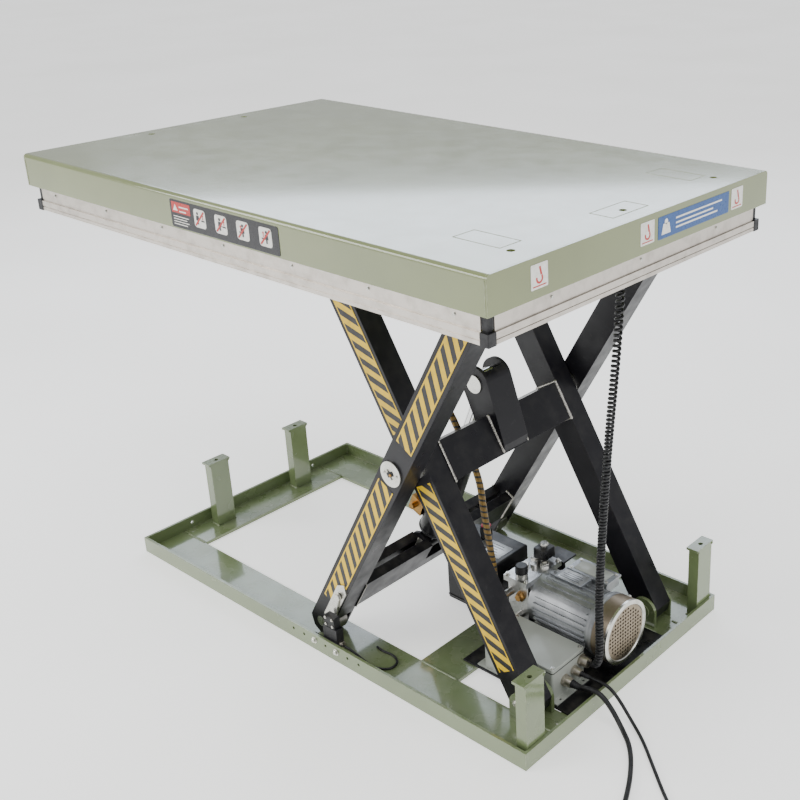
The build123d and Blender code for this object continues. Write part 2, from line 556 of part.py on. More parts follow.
def floor_cables():
    """Mains and pendant cables over the end rail to their coils on the floor."""
    x1 = JB_X[1]
    coil_x, coil_y = COIL_AT
    lie = MAINS_R + 0.3
    mains = [(x1 + 20, -117, 44), (x1 + 38, -117, 44), (x1 + 62, -115, 51), (x1 + 88, -113, 49),
             (x1 + 116, -116, 30), (x1 + 146, -126, 9), (x1 + 188, -155, lie), (x1 + 228, -208, lie),
             (x1 + 262, -272, lie), (x1 + 290, -340, lie), (coil_x - 60, coil_y + 32, lie)]
    coil = ring(coil_x, coil_y, 0.3, COIL_H, COIL_IN, COIL_OUT)
    pcoil_x, pcoil_y = PENDANT_COIL_AT
    lie = PENDANT_R + 0.3
    pendant = [(x1 + 20, -88, 50), (x1 + 38, -88, 50), (x1 + 62, -86, 50), (x1 + 86, -84, 47),
               (x1 + 112, -86, 30), (x1 + 146, -96, 8), (x1 + 194, -124, lie), (x1 + 252, -172, lie),
               (x1 + 313, -222, lie), (x1 + 374, -262, lie), (x1 + 434, -290, lie),
               (pcoil_x - 26, pcoil_y + 45.5, lie)]
    pcoil = ring(pcoil_x, pcoil_y, 0.3, PCOIL_H, PCOIL_IN, PCOIL_OUT)
    return {"mains_cable": cord_tube("mains_cable", mains, MAINS_R), "mains_cable_coil": coil,
            "pendant_cable": cord_tube("pendant_cable", pendant, PENDANT_R),
            "pendant_cable_coil": pcoil} | mains_plug() | hand_pendant()


def mains_plug():
    """Three-pin plug lying on the mains coil."""
    x, y = COIL_AT[0] - 15, COIL_AT[1] - 8
    z = COIL_H + 20
    body = bar_y(x, z, y - 72, y - 20, 20) + bar_y(x, z, y - 20, y, 13)
    for px, pz in ((-8, 5), (8, 5), (0, -8)):
        body += bar_y(x + px, z + pz, y - 72, y - 88, 2.4)
    body -= block((x - 30, x + 30), (y - 100, y + 20), (z - 30, COIL_H + 0.1))
    return {"mains_plug": body}


def hand_pendant():
    """Hand control lying beside its coil: case, two travel keys and a stop button."""
    x, y = PENDANT_COIL_AT
    z = 0.5
    cx, cy = x + (PCOIL_IN + PCOIL_OUT) / 2, y - 122
    case = block((cx - 26, cx + 26), (cy - 68, cy + 68), (z, z + 36))
    case = fillet(case.edges(), 6) + bar_y(cx, z + 18, cy + 66, cy + 86, 9)
    places = {"pendant_stop_button": -44, "pendant_down_button": 2, "pendant_up_button": 36}
    nodes = {}
    for name, dy in places.items():
        radius = 8.5
        case -= bar_z(cx, cy + dy, z + 24, z + 40, radius + 0.3)
        button = bar_z(cx, cy + dy, z + 28, z + 40, radius)
        if name == "pendant_stop_button":
            button += bar_z(cx, cy + dy, z + 42, z + 52, 16) + bar_z(cx, cy + dy, z + 39, z + 43, 8.5)
        nodes[name] = button
    return {"pendant_case": case} | nodes


# ---------------------------------------------------------------- assembly
def build_nodes():
    """Every node of the table, by name."""
    nodes = {}
    for make in (base_rails, support_posts, base_pivots, inner_arms, outer_arms, rollers,
                 hydraulic_cylinder, deck, safety_frame, power_pack,
                 junction_box, limit_switch, hoses, curly_cord, floor_cables):
        nodes.update(make())
    return nodes


def solids_of(shape):
    """The solids in a shape or in a list of shapes."""
    if isinstance(shape, list):
        return [solid for item in shape for solid in item.solids()]
    return list(shape.solids())


def main():
    """Write one STEP file per node."""
    os.makedirs("parts", exist_ok=True)
    nodes = build_nodes()
    for name, shape in nodes.items():
        solids = solids_of(shape)
        out = solids[0] if len(solids) == 1 else Compound(children=solids)
        export_step(out, f"parts/{name}.step")
    foot_x, foot_z, slope, length = cylinder_line()
    print(f"nodes {len(nodes)}, deck {DECK_Z:.2f}, centre {CX:.2f} {CZ:.2f}, rollers {ROLLER_X:.2f}")
    print(f"low angle {degrees(LOW_THETA):.3f}, cylinder foot {foot_x:.2f} {foot_z:.2f}, "
          f"slope {slope:.3f}, length {length:.2f}")


if __name__ == "__main__":
    main()
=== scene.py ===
"""Looks of a raised electro-hydraulic scissor lift table, over its CAD frame.

Metres, +Z up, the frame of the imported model.  The cords come first, then one class
for each sub-assembly adds its detail pieces and dresses its CAD nodes.
"""

import json
import logging
import math
from dataclasses import dataclass, field
from enum import Enum

import bmesh
import bpy
from mathutils import Matrix, Quaternion, Vector


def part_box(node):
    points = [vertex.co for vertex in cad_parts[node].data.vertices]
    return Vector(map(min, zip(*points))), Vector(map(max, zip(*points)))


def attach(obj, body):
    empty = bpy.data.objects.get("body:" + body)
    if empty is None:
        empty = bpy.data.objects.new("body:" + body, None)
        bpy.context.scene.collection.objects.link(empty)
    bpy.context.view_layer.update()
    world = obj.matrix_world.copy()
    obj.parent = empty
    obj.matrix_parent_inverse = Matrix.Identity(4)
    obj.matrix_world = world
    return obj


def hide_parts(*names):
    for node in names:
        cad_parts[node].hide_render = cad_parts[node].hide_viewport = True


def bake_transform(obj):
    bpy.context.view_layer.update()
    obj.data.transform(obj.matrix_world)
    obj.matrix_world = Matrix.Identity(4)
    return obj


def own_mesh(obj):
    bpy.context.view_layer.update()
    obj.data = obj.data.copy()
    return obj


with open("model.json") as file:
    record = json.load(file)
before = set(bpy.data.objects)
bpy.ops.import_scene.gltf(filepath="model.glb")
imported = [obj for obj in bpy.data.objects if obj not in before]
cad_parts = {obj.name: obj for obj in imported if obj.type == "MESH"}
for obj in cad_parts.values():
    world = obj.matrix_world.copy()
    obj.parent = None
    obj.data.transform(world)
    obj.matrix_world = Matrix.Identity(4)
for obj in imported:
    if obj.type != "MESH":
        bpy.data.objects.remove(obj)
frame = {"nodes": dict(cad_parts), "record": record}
log = logging.getLogger("lift_table")

MM = 0.001
TAPE_LIFT = 0.35  # outer side of the tape's glue over the paint, in millimetres
# Real lengths of the cords in metres.
HOSE_LOW_LENGTH = 0.297
HOSE_HIGH_LENGTH = 0.415
JOINTS = {joint["name"]: joint for joint in frame["record"]["behaviour"]["joints"]}


class Body(Enum):
    """Names of the CAD bodies that pieces ride on."""

    BASE = "base"
    INNER = "inner_arms"
    OUTER = "outer_arms"
    PLATFORM = "platform"
    TRIP = "safety_frame"
    BARREL = "cylinder_barrel"
    ROD = "cylinder_rod"
    CAP = "filler_cap"
    LEVER = "switch_lever"


# ------------------------------------------------------------------ colours and shader nodes
def colour(code: str) -> tuple[float, float, float, float]:
    """Turn an sRGB hex colour into linear RGBA.

    Args:
        code: six hex digits, such as "7f8a58".

    Returns:
        Four floats from 0 to 1.
    """
    parts = [int(code[i:i + 2], 16) / 255 for i in (0, 2, 4)]
    linear = [c / 12.92 if c <= 0.04045 else ((c + 0.055) / 1.055) ** 2.4 for c in parts]
    return (linear[0], linear[1], linear[2], 1.0)


class Graph:
    """A material's node tree, with short ways to add and join nodes."""

    def __init__(self, name: str):
        self.material = bpy.data.materials.new(name)
        self.material.use_nodes = True
        self.tree = self.material.node_tree
        self.tree.nodes.clear()
        self.output = self.tree.nodes.new("ShaderNodeOutputMaterial")
        self.shader = self.add("ShaderNodeBsdfPrincipled")
        self.join(self.shader.outputs[0], self.output.inputs["Surface"])
        self.coords = self.add("ShaderNodeTexCoord").outputs["Object"]

    def add(self, kind: str, inputs: dict | None = None, **settings):
        """Add a node.

        Args:
            kind: the node's Blender type.
            inputs: socket name or index to a value or to another node's output.
            settings: attributes set on the node itself.

        Returns:
            The new node.
        """
        node = self.tree.nodes.new(kind)
        for key, value in settings.items():
            setattr(node, key, value)
        for key, value in (inputs or {}).items():
            if isinstance(value, bpy.types.NodeSocket):
                self.join(value, node.inputs[key])
            else:
                node.inputs[key].default_value = value
        return node

    def join(self, source, target) -> None:
        """Link an output to an input."""
        self.tree.links.new(source, target)

    def set(self, **values) -> None:
        """Set or link the Principled shader's sockets, with _ for a space."""
        for key, value in values.items():
            socket = self.shader.inputs[key.replace("_", " ")]
            if isinstance(value, bpy.types.NodeSocket):
                self.join(value, socket)
            else:
                socket.default_value = value

    def noise(self, size_mm: float, detail: float = 3.0, rough: float = 0.55, coords=None):
        """Noise whose features are about size_mm across, as a 0 to 1 value."""
        return self.add("ShaderNodeTexNoise", {"Vector": coords or self.coords, "Scale": 1 / (size_mm * MM),
                                               "Detail": detail, "Roughness": rough}).outputs["Fac"]

    def stretched(self, scale: tuple[float, float, float]):
        """Object coordinates stretched along the axes."""
        return self.add("ShaderNodeMapping", {"Vector": self.coords, "Scale": scale}).outputs[0]

    def ramp(self, value, low: float, high: float, out_low: float = 0.0, out_high: float = 1.0):
        """Map a value from one range to another, clamped."""
        return self.add("ShaderNodeMapRange", {"Value": value, "From Min": low, "From Max": high,
                                               "To Min": out_low, "To Max": out_high}).outputs[0]

    def math(self, operation: str, a, b=0.0):
        """One maths node."""
        return self.add("ShaderNodeMath", {0: a, 1: b}, operation=operation).outputs[0]

    def mix(self, factor, a, b):
        """Blend two colours."""
        return self.add("ShaderNodeMix", {0: factor, 6: a, 7: b}, data_type="RGBA").outputs[2]

    def bump(self, height, depth_mm: float, strength: float = 1.0, normal=None):
        """Turn a 0 to 1 height into a normal."""
        inputs = {"Height": height, "Distance": depth_mm * MM, "Strength": strength}
        if normal is not None:
            inputs["Normal"] = normal
        return self.add("ShaderNodeBump", inputs).outputs[0]

    def edge(self, radius_mm: float):
        """A softened normal at edges, and how far it turns there from 0 to 1."""
        soft = self.add("ShaderNodeBevel", {"Radius": radius_mm * MM}, samples=4).outputs[0]
        true = self.add("ShaderNodeNewGeometry").outputs["Normal"]
        dot = self.add("ShaderNodeVectorMath", {0: soft, 1: true}, operation="DOT_PRODUCT").outputs["Value"]
        return soft, self.ramp(dot, 0.999, 0.9)

    def upward(self):
        """How far the surface looks up, from 0 to 1."""
        normal = self.add("ShaderNodeNewGeometry").outputs["Normal"]
        z = self.add("ShaderNodeSeparateXYZ", {0: normal}).outputs[2]
        return self.ramp(z, 0.35, 0.95)


# ------------------------------------------------------------------ finishes
@dataclass(frozen=True)
class Finish:
    """A named surface; each kind makes its own material once."""

    name: str

    def material(self) -> bpy.types.Material:
        """The material, made the first time it is asked for."""
        found = bpy.data.materials.get(self.name)
        return found or self.make()

    def make(self) -> bpy.types.Material:
        """Build the node tree."""
        raise NotImplementedError


@dataclass(frozen=True)
class GlossPaint(Finish):
    """Sprayed gloss enamel on steel: orange peel, colour drift, rubbed edges and dust."""

    base: str = "7f8a58"
    drift: str = "879262"
    worn: str = "b9bf9a"
    dust: str = "a9a894"
    roughness: float = 0.22
    peel_mm: float = 0.07
    coat: float = 0.6
    dusty: float = 0.25

    def make(self) -> bpy.types.Material:
        g = Graph(self.name)
        patches = g.ramp(g.noise(160, 2), 0.35, 0.7)
        body = g.mix(patches, colour(self.base), colour(self.drift))
        soft, edge = g.edge(1.6)
        rubbed = g.math("MULTIPLY", edge, g.ramp(g.noise(14), 0.42, 0.62))
        body = g.mix(g.math("MULTIPLY", rubbed, 0.75), body, colour(self.worn))
        settled = g.math("MULTIPLY", g.upward(), g.ramp(g.noise(45, 5), 0.4, 0.75, 0, self.dusty))
        body = g.mix(settled, body, colour(self.dust))
        smear = g.ramp(g.noise(60, 4), 0.3, 0.8, self.roughness * 0.8, self.roughness * 1.5)
        peel = g.bump(g.noise(3.2, 1.5), self.peel_mm, 0.55, soft)
        waves = g.bump(g.noise(28, 2), 0.5, 0.3, peel)
        g.set(Base_Color=body, Roughness=g.math("ADD", smear, g.math("MULTIPLY", settled, 0.5)),
              IOR=1.5, Coat_Weight=self.coat, Coat_Roughness=0.07, Normal=waves)
        return g.material


@dataclass(frozen=True)
class SatinPaint(Finish):
    """Satin powder coat: fine grain, scuffs, slightly grey edges."""

    base: str = "1c1b20"
    scuff: str = "4a494c"
    roughness: float = 0.38
    grain_mm: float = 0.03

    def make(self) -> bpy.types.Material:
        g = Graph(self.name)
        soft, edge = g.edge(1.2)
        marks = g.ramp(g.noise(9, 6, 0.7), 0.6, 0.72, 0, 0.35)
        body = g.mix(marks, colour(self.base), colour(self.scuff))
        body = g.mix(g.math("MULTIPLY", edge, g.ramp(g.noise(22), 0.35, 0.65, 0, 0.7)), body,
                     colour(self.scuff))
        dust = g.math("MULTIPLY", g.upward(), g.ramp(g.noise(30, 5), 0.45, 0.8, 0, 0.3))
        body = g.mix(dust, body, colour("77746d"))
        rough = g.ramp(g.noise(35, 4), 0.3, 0.75, self.roughness * 0.8, self.roughness * 1.4)
        g.set(Base_Color=body, Roughness=rough, IOR=1.5, Specular_IOR_Level=0.35,
              Normal=g.bump(g.noise(1.2, 2), self.grain_mm, 0.6, soft))
        return g.material


@dataclass(frozen=True)
class Metal(Finish):
    """Bare or plated metal, with grain drawn along one axis where stretch isn't even."""

    base: str = "bdb7af"
    stain: str = "8d8982"
    roughness: float = 0.34
    grain_mm: float = 1.0
    stretch: tuple[float, float, float] = (1.0, 1.0, 1.0)
    depth_mm: float = 0.02

    def make(self) -> bpy.types.Material:
        g = Graph(self.name)
        lines = g.noise(self.grain_mm, 4, 0.6, g.stretched(self.stretch))
        stained = g.ramp(g.noise(25, 5), 0.45, 0.75, 0, 0.6)
        body = g.mix(stained, colour(self.base), colour(self.stain))
        rough = g.ramp(lines, 0.25, 0.75, self.roughness * 0.75, self.roughness * 1.35)
        g.set(Base_Color=body, Metallic=1.0, Roughness=rough, Normal=g.bump(lines, self.depth_mm, 0.6))
        return g.material


@dataclass(frozen=True)
class Plastic(Finish):
    """Moulded plastic or rubber with a fine spark-eroded grain."""

    base: str = "17171a"
    bloom: str = "3a3a3c"
    roughness: float = 0.5
    grain_mm: float = 0.7
    depth_mm: float = 0.03

    def make(self) -> bpy.types.Material:
        g = Graph(self.name)
        bloom = g.ramp(g.noise(12, 5), 0.45, 0.8, 0, 0.45)
        body = g.mix(bloom, colour(self.base), colour(self.bloom))
        rough = g.ramp(g.noise(8, 4), 0.3, 0.7, self.roughness * 0.85, self.roughness * 1.2)
        g.set(Base_Color=body, Roughness=rough, IOR=1.49,
              Normal=g.bump(g.noise(self.grain_mm, 2), self.depth_mm, 0.7))
        return g.material


@dataclass(frozen=True)
class HazardTape(Finish):
    """Printed vinyl tape: slanted stripes between thin yellow borders, along a UV in metres."""

    pitch: float = 0.034
    width: float = 0.043

    def make(self) -> bpy.types.Material:
        g = Graph(self.name)
        uv = g.add("ShaderNodeUVMap", uv_map="metres").outputs[0]
        parts = g.add("ShaderNodeSeparateXYZ", {0: uv}).outputs
        slant = g.math("SUBTRACT", parts[0], parts[1])
        band = g.math("FRACT", g.math("DIVIDE", slant, self.pitch))
        black = g.math("LESS_THAN", band, 0.5)
        from_edge = g.math("ABSOLUTE", g.math("SUBTRACT", parts[1], self.width / 2))
        border = g.math("GREATER_THAN", from_edge, self.width / 2 - 0.0028)
        black = g.math("MULTIPLY", black, g.math("SUBTRACT", 1.0, border))
        soiled = g.ramp(g.noise(20, 5), 0.45, 0.75, 0, 0.35)
        yellow = g.mix(soiled, colour("e9c000"), colour("b08f0c"))
        body = g.mix(black, yellow, colour("151417"))
        g.set(Base_Color=body, Roughness=g.ramp(g.noise(10, 4), 0.3, 0.7, 0.3, 0.5), IOR=1.5,
              Normal=g.bump(g.noise(6, 3), 0.05, 0.4))
        return g.material


@dataclass(frozen=True)
class SpiralGuard(Finish):
    """Rubber hose inside a flat spiral guard, along a UV in metres and turns."""

    guard: str = "8a6a24"
    hose: str = "1b1a18"
    pitch: float = 0.012

    def make(self) -> bpy.types.Material:
        g = Graph(self.name)
        uv = g.add("ShaderNodeUVMap", uv_map="metres").outputs[0]
        parts = g.add("ShaderNodeSeparateXYZ", {0: uv}).outputs
        turn = g.math("FRACT", g.math("ADD", g.math("DIVIDE", parts[0], self.pitch), parts[1]))
        covered = g.ramp(g.math("ABSOLUTE", g.math("SUBTRACT", turn, 0.5)), 0.36, 0.3)
        tone = g.mix(g.ramp(g.noise(7, 4), 0.35, 0.7), colour(self.guard), colour("5c4717"))
        g.set(Base_Color=g.mix(covered, colour(self.hose), tone), Roughness=0.42, IOR=1.5,
              Normal=g.bump(covered, 0.9, 1.0))
        return g.material


@dataclass(frozen=True)
class Print(Finish):
    """Flat printed film: one ink under a clear layer, a little faded."""

    ink: str = "f0efe9"
    faded: str = "dcd9cf"
    roughness: float = 0.3

    def make(self) -> bpy.types.Material:
        g = Graph(self.name)
        body = g.mix(g.ramp(g.noise(9, 5), 0.4, 0.75), colour(self.ink), colour(self.faded))
        rough = g.ramp(g.noise(4, 3), 0.3, 0.7, self.roughness * 0.8, self.roughness * 1.3)
        g.set(Base_Color=body, Roughness=rough, IOR=1.5, Normal=g.bump(g.noise(2.5, 2), 0.015, 0.5))
        return g.material


# Olive-green gloss enamel of the deck, its skirts and the base frame.
DECK_GREEN = GlossPaint("olive_green_gloss_enamel", base="727b4a", drift="7b8451", dusty=0.10,
                        roughness=0.14, coat=1.0)
BASE_GREEN = GlossPaint("olive_green_enamel_base", base="6c7a52", drift="76855c", dusty=0.22,
                        roughness=0.22,
                        coat=0.8)
# Satin black powder coat of the scissor arms, and the duller black of the tank and tray.
ARM_BLACK = SatinPaint("satin_black_powder_coat", base="131217", scuff="3a393c", roughness=0.34)
TANK_BLACK = SatinPaint("semi_matt_black_steel", base="141416", roughness=0.3, grain_mm=0.02)
# Mill-finish aluminium drawn along X and along Y, cast aluminium, zinc and chrome.
ALU_X = Metal("aluminium_extrusion_along_x", base="cfc8bf", stain="a59e95", stretch=(0.02, 1, 1))
ALU_Y = Metal("aluminium_extrusion_along_y", base="cfc8bf", stain="a59e95", stretch=(1, 0.02, 1))
CAST_ALU = Metal("cast_aluminium_silver", base="b4b6b8", stain="7f8184", roughness=0.42, depth_mm=0.06)
BLOCK_ALU = Metal("milled_aluminium", base="c6c7c7", stain="94928d", roughness=0.3, stretch=(1, 1, 0.1))
ZINC = Metal("zinc_plated_steel", base="d6d5cf", stain="a3a196", roughness=0.26)
ROLLER_STEEL = Metal("turned_steel", base="9a9894", stain="5f5c57", roughness=0.3, stretch=(1, 0.05, 1))
CHROME = Metal("hard_chrome", base="dcdcdc", stain="c2c2c2", roughness=0.08, depth_mm=0.004)
BRASS = Metal("brass_fitting", base="b98f56", stain="7d5c30", roughness=0.3)
WELD = Metal("wire_brushed_weld", base="b9b6b0", stain="6f6a63", roughness=0.4, grain_mm=0.5, depth_mm=0.08)
FAN_GOLD = Metal("champagne_fan_cover", base="9c8f7d", stain="776b5a", roughness=0.42)
# Light grey enclosure paint, black moulded parts, rubber, and the small coloured plastics.
BOX_GREY = GlossPaint("light_grey_enclosure_paint", base="b9bdb5", drift="aeb2aa", worn="d5d7d0",
                      dust="9a978c", roughness=0.36, coat=0.2)
GLAND = Metal("nickel_plated_brass", base="bdb6aa", stain="8d8474", roughness=0.34)
BLACK_PLASTIC = Plastic("black_moulded_nylon")
CABLE = Plastic("black_pvc_cable", base="121214", roughness=0.42, grain_mm=1.5, depth_mm=0.02)
CURLY = Plastic("black_polyurethane_cord", base="0f0f11", roughness=0.34, depth_mm=0.01)
RED_CAP = Plastic("red_pink_cap_plastic", base="b0304a", bloom="c9586c", roughness=0.4)
STOP_RED = Plastic("stop_button_red", base="b01818", bloom="c23a30", roughness=0.3)
KEY_WHITE = Plastic("white_key_plastic", base="e6e6e0", bloom="cfcec6", roughness=0.35)
KEY_BLACK = Plastic("black_key_plastic", base="1a1a1c", roughness=0.35)
TAPE = HazardTape("hazard_stripe_vinyl")
HOSE = SpiralGuard("hose_in_spiral_guard")
INK_BLACK = Print("label_black", ink="17171b", faded="232327")
INK_RED = Print("label_red", ink="c22a26", faded="b23a33")
INK_WHITE = Print("label_white")
INK_BLUE = Print("label_blue", ink="24508e", faded="2f5b97")
INK_SILVER = Metal("label_silver_foil", base="c9cac9", stain="a9aaa8", roughness=0.35)


# ------------------------------------------------------------------ mesh building
def place(origin, x_axis, z_axis) -> Matrix:
    """A local frame from its origin, x axis and z axis.

    Args:
        origin: where the local origin lies, in metres.
        x_axis: direction of local x.
        z_axis: direction of local z, made square to x.

    Returns:
        A 4 by 4 matrix.
    """
    x = Vector(x_axis).normalized()
    z = Vector(z_axis)
    z = (z - x * z.dot(x)).normalized()
    y = z.cross(x)
    turn = Matrix((x, y, z)).transposed().to_4x4()
    return Matrix.Translation(Vector(origin)) @ turn


def upright(origin) -> Matrix:
    """A local frame along the object's own axes, at an origin in metres."""
    return place(origin, (1, 0, 0), (0, 0, 1))


def new_object(name: str, bm: bmesh.types.BMesh, finish: Finish, matrix: Matrix | None = None,
               smooth: float | None = 35.0) -> bpy.types.Object:
    """Make an object at the world origin from a bmesh.

    Args:
        name: the piece's name.
        bm: the mesh, freed afterwards.
        finish: its surface.
        matrix: local frame that the vertices are turned by, if any.
        smooth: edges sharper than this many degrees stay hard; None for flat faces.

    Returns:
        The linked object.
    """
    if matrix is not None:
        bmesh.ops.transform(bm, matrix=matrix, verts=bm.verts)
    bmesh.ops.recalc_face_normals(bm, faces=bm.faces)
    mesh = bpy.data.meshes.new(name)
    bm.to_mesh(mesh)
    bm.free()
    mesh.materials.append(finish.material())
    obj = bpy.data.objects.new(name, mesh)
    bpy.context.scene.collection.objects.link(obj)
    if smooth is not None:
        mesh.shade_smooth()
        mesh.set_sharp_from_angle(angle=math.radians(smooth))
    return obj


def plate(name: str, size, radius: float, finish: Finish, matrix: Matrix, bevel: float = 0.0004,
          corner_steps: int = 5) -> bpy.types.Object:
    """A rounded rectangular plate, standing on its local z=0, with softened edges."""
    bm = bmesh.new()
    width, height, thick = size
    ring = []
    for cx, cy, start in ((1, 1, 0), (-1, 1, 90), (-1, -1, 180), (1, -1, 270)):
        for step in range(corner_steps + 1):
            angle = math.radians(start + 90 * step / corner_steps)
            ring.append(bm.verts.new((cx * (width / 2 - radius) + radius * math.cos(angle),
                                      cy * (height / 2 - radius) + radius * math.sin(angle), 0)))
    face = bm.faces.new(ring)
    moved = bmesh.ops.extrude_face_region(bm, geom=[face])["geom"]
    verts = [v for v in moved if isinstance(v, bmesh.types.BMVert)]
    bmesh.ops.translate(bm, verts=verts, vec=(0, 0, thick))
    if bevel:
        rim = [e for e in bm.edges if all(v in verts for v in e.verts)]
        bmesh.ops.bevel(bm, geom=rim, offset=min(bevel, thick * 0.45), segments=2, affect="EDGES",
                        profile=0.5)
    return new_object(name, bm, finish, matrix)


def lathe_mesh(profile, sides: int) -> bmesh.types.BMesh:
    """Spin a (radius, height) profile about local z; six sides make a hexagon."""
    bm = bmesh.new()
    rings = []
    for radius, height in profile:
        if radius <= 1e-7:
            rings.append([bm.verts.new((0, 0, height))])
            continue
        rings.append([bm.verts.new((radius * math.cos(2 * math.pi * i / sides),
                                    radius * math.sin(2 * math.pi * i / sides), height))
                      for i in range(sides)])
    for low, high in zip(rings, rings[1:]):
        for i in range(sides):
            j = (i + 1) % sides
            corners = [low[i % len(low)], low[j % len(low)], high[j % len(high)], high[i % len(high)]]
            unique = list(dict.fromkeys(corners))
            if len(unique) >= 3:
                bm.faces.new(unique)
    return bm


def lathe(name: str, profile, finish: Finish, matrix: Matrix, sides: int = 40) -> bpy.types.Object:
    """A turned piece, as one object."""
    return new_object(name, lathe_mesh(profile, sides), finish, matrix)


def flat_shape(name: str, outline, finish: Finish, matrix: Matrix,
               thick: float = 0.00012) -> bpy.types.Object:
    """A thin printed shape from an outline of (x, y) points."""
    bm = bmesh.new()
    face = bm.faces.new([bm.verts.new((x, y, 0)) for x, y in outline])
    moved = bmesh.ops.extrude_face_region(bm, geom=[face])["geom"]
    bmesh.ops.translate(bm, verts=[v for v in moved if isinstance(v, bmesh.types.BMVert)],
                        vec=(0, 0, thick))
    return new_object(name, bm, finish, matrix, smooth=None)


def join_all(name: str, objects) -> bpy.types.Object:
    """Join objects into the first one, keeping their materials."""
    with bpy.context.temp_override(active_object=objects[0], object=objects[0],
                                   selected_objects=objects, selected_editable_objects=objects):
        bpy.ops.object.join()
    objects[0].name = name
    return objects[0]


def spline_points(curve: bpy.types.Object) -> list[Vector]:
    """Points along a curve that has no bevel, as Blender evaluates it."""
    bpy.context.view_layer.update()
    mesh = bpy.data.meshes.new_from_object(curve.evaluated_get(bpy.context.evaluated_depsgraph_get()))
    points = [v.co.copy() for v in mesh.vertices]
    bpy.data.meshes.remove(mesh)
    return points


def resample(points: list[Vector], step: float) -> list[Vector]:
    """Evenly spaced points along a chain of points."""
    lengths = [0.0]
    for a, b in zip(points, points[1:]):
        lengths.append(lengths[-1] + (b - a).length)
    count = max(2, round(lengths[-1] / step) + 1)
    out = []
    k = 0
    for i in range(count):
        at = lengths[-1] * i / (count - 1)
        while k < len(points) - 2 and lengths[k + 1] < at:
            k += 1
        part = (at - lengths[k]) / max(lengths[k + 1] - lengths[k], 1e-9)
        out.append(points[k].lerp(points[k + 1], min(1.0, part)))
    return out


def carried_frames(points: list[Vector]) -> list[tuple[Vector, Vector]]:
    """Two square directions at each point, carried along the path without twist."""
    tangents = [(points[min(i + 1, len(points) - 1)] - points[max(i - 1, 0)]).normalized()
                for i in range(len(points))]
    side = tangents[0].orthogonal().normalized()
    frames = []
    for i, tangent in enumerate(tangents):
        if i:
            side = Quaternion(tangents[i - 1].rotation_difference(tangent)) @ side
            side = (side - tangent * side.dot(tangent)).normalized()
        frames.append((side, tangent.cross(side)))
    return frames


def tube(name: str, points: list[Vector], radius, finish: Finish, sides: int = 12) -> bpy.types.Object:
    """A closed tube along points, with a UV of metres along and turns round.

    Args:
        name: the piece's name.
        points: its centre line.
        radius: one radius in metres, or one for each point.
        finish: its surface.
        sides: faces round the tube.

    Returns:
        The tube.
    """
    radii = radius if isinstance(radius, list) else [radius] * len(points)
    bm = bmesh.new()
    uv = bm.loops.layers.uv.new("metres")
    rings = []
    travelled = [0.0]
    for a, b in zip(points, points[1:]):
        travelled.append(travelled[-1] + (b - a).length)
    for point, r, (u, v) in zip(points, radii, carried_frames(points)):
        rings.append([bm.verts.new(point + (u * math.cos(t) + v * math.sin(t)) * r)
                      for t in (2 * math.pi * i / sides for i in range(sides))])
    for k, (low, high) in enumerate(zip(rings, rings[1:])):
        for i in range(sides):
            j = (i + 1) % sides
            face = bm.faces.new((low[i], low[j], high[j], high[i]))
            spots = ((k, i), (k, i + 1), (k + 1, i + 1), (k + 1, i))
            for loop, (along, round_) in zip(face.loops, spots):
                loop[uv].uv = (travelled[along], round_ / sides)
    bm.faces.new(rings[0][::-1])
    bm.faces.new(rings[-1])
    return new_object(name, bm, finish)


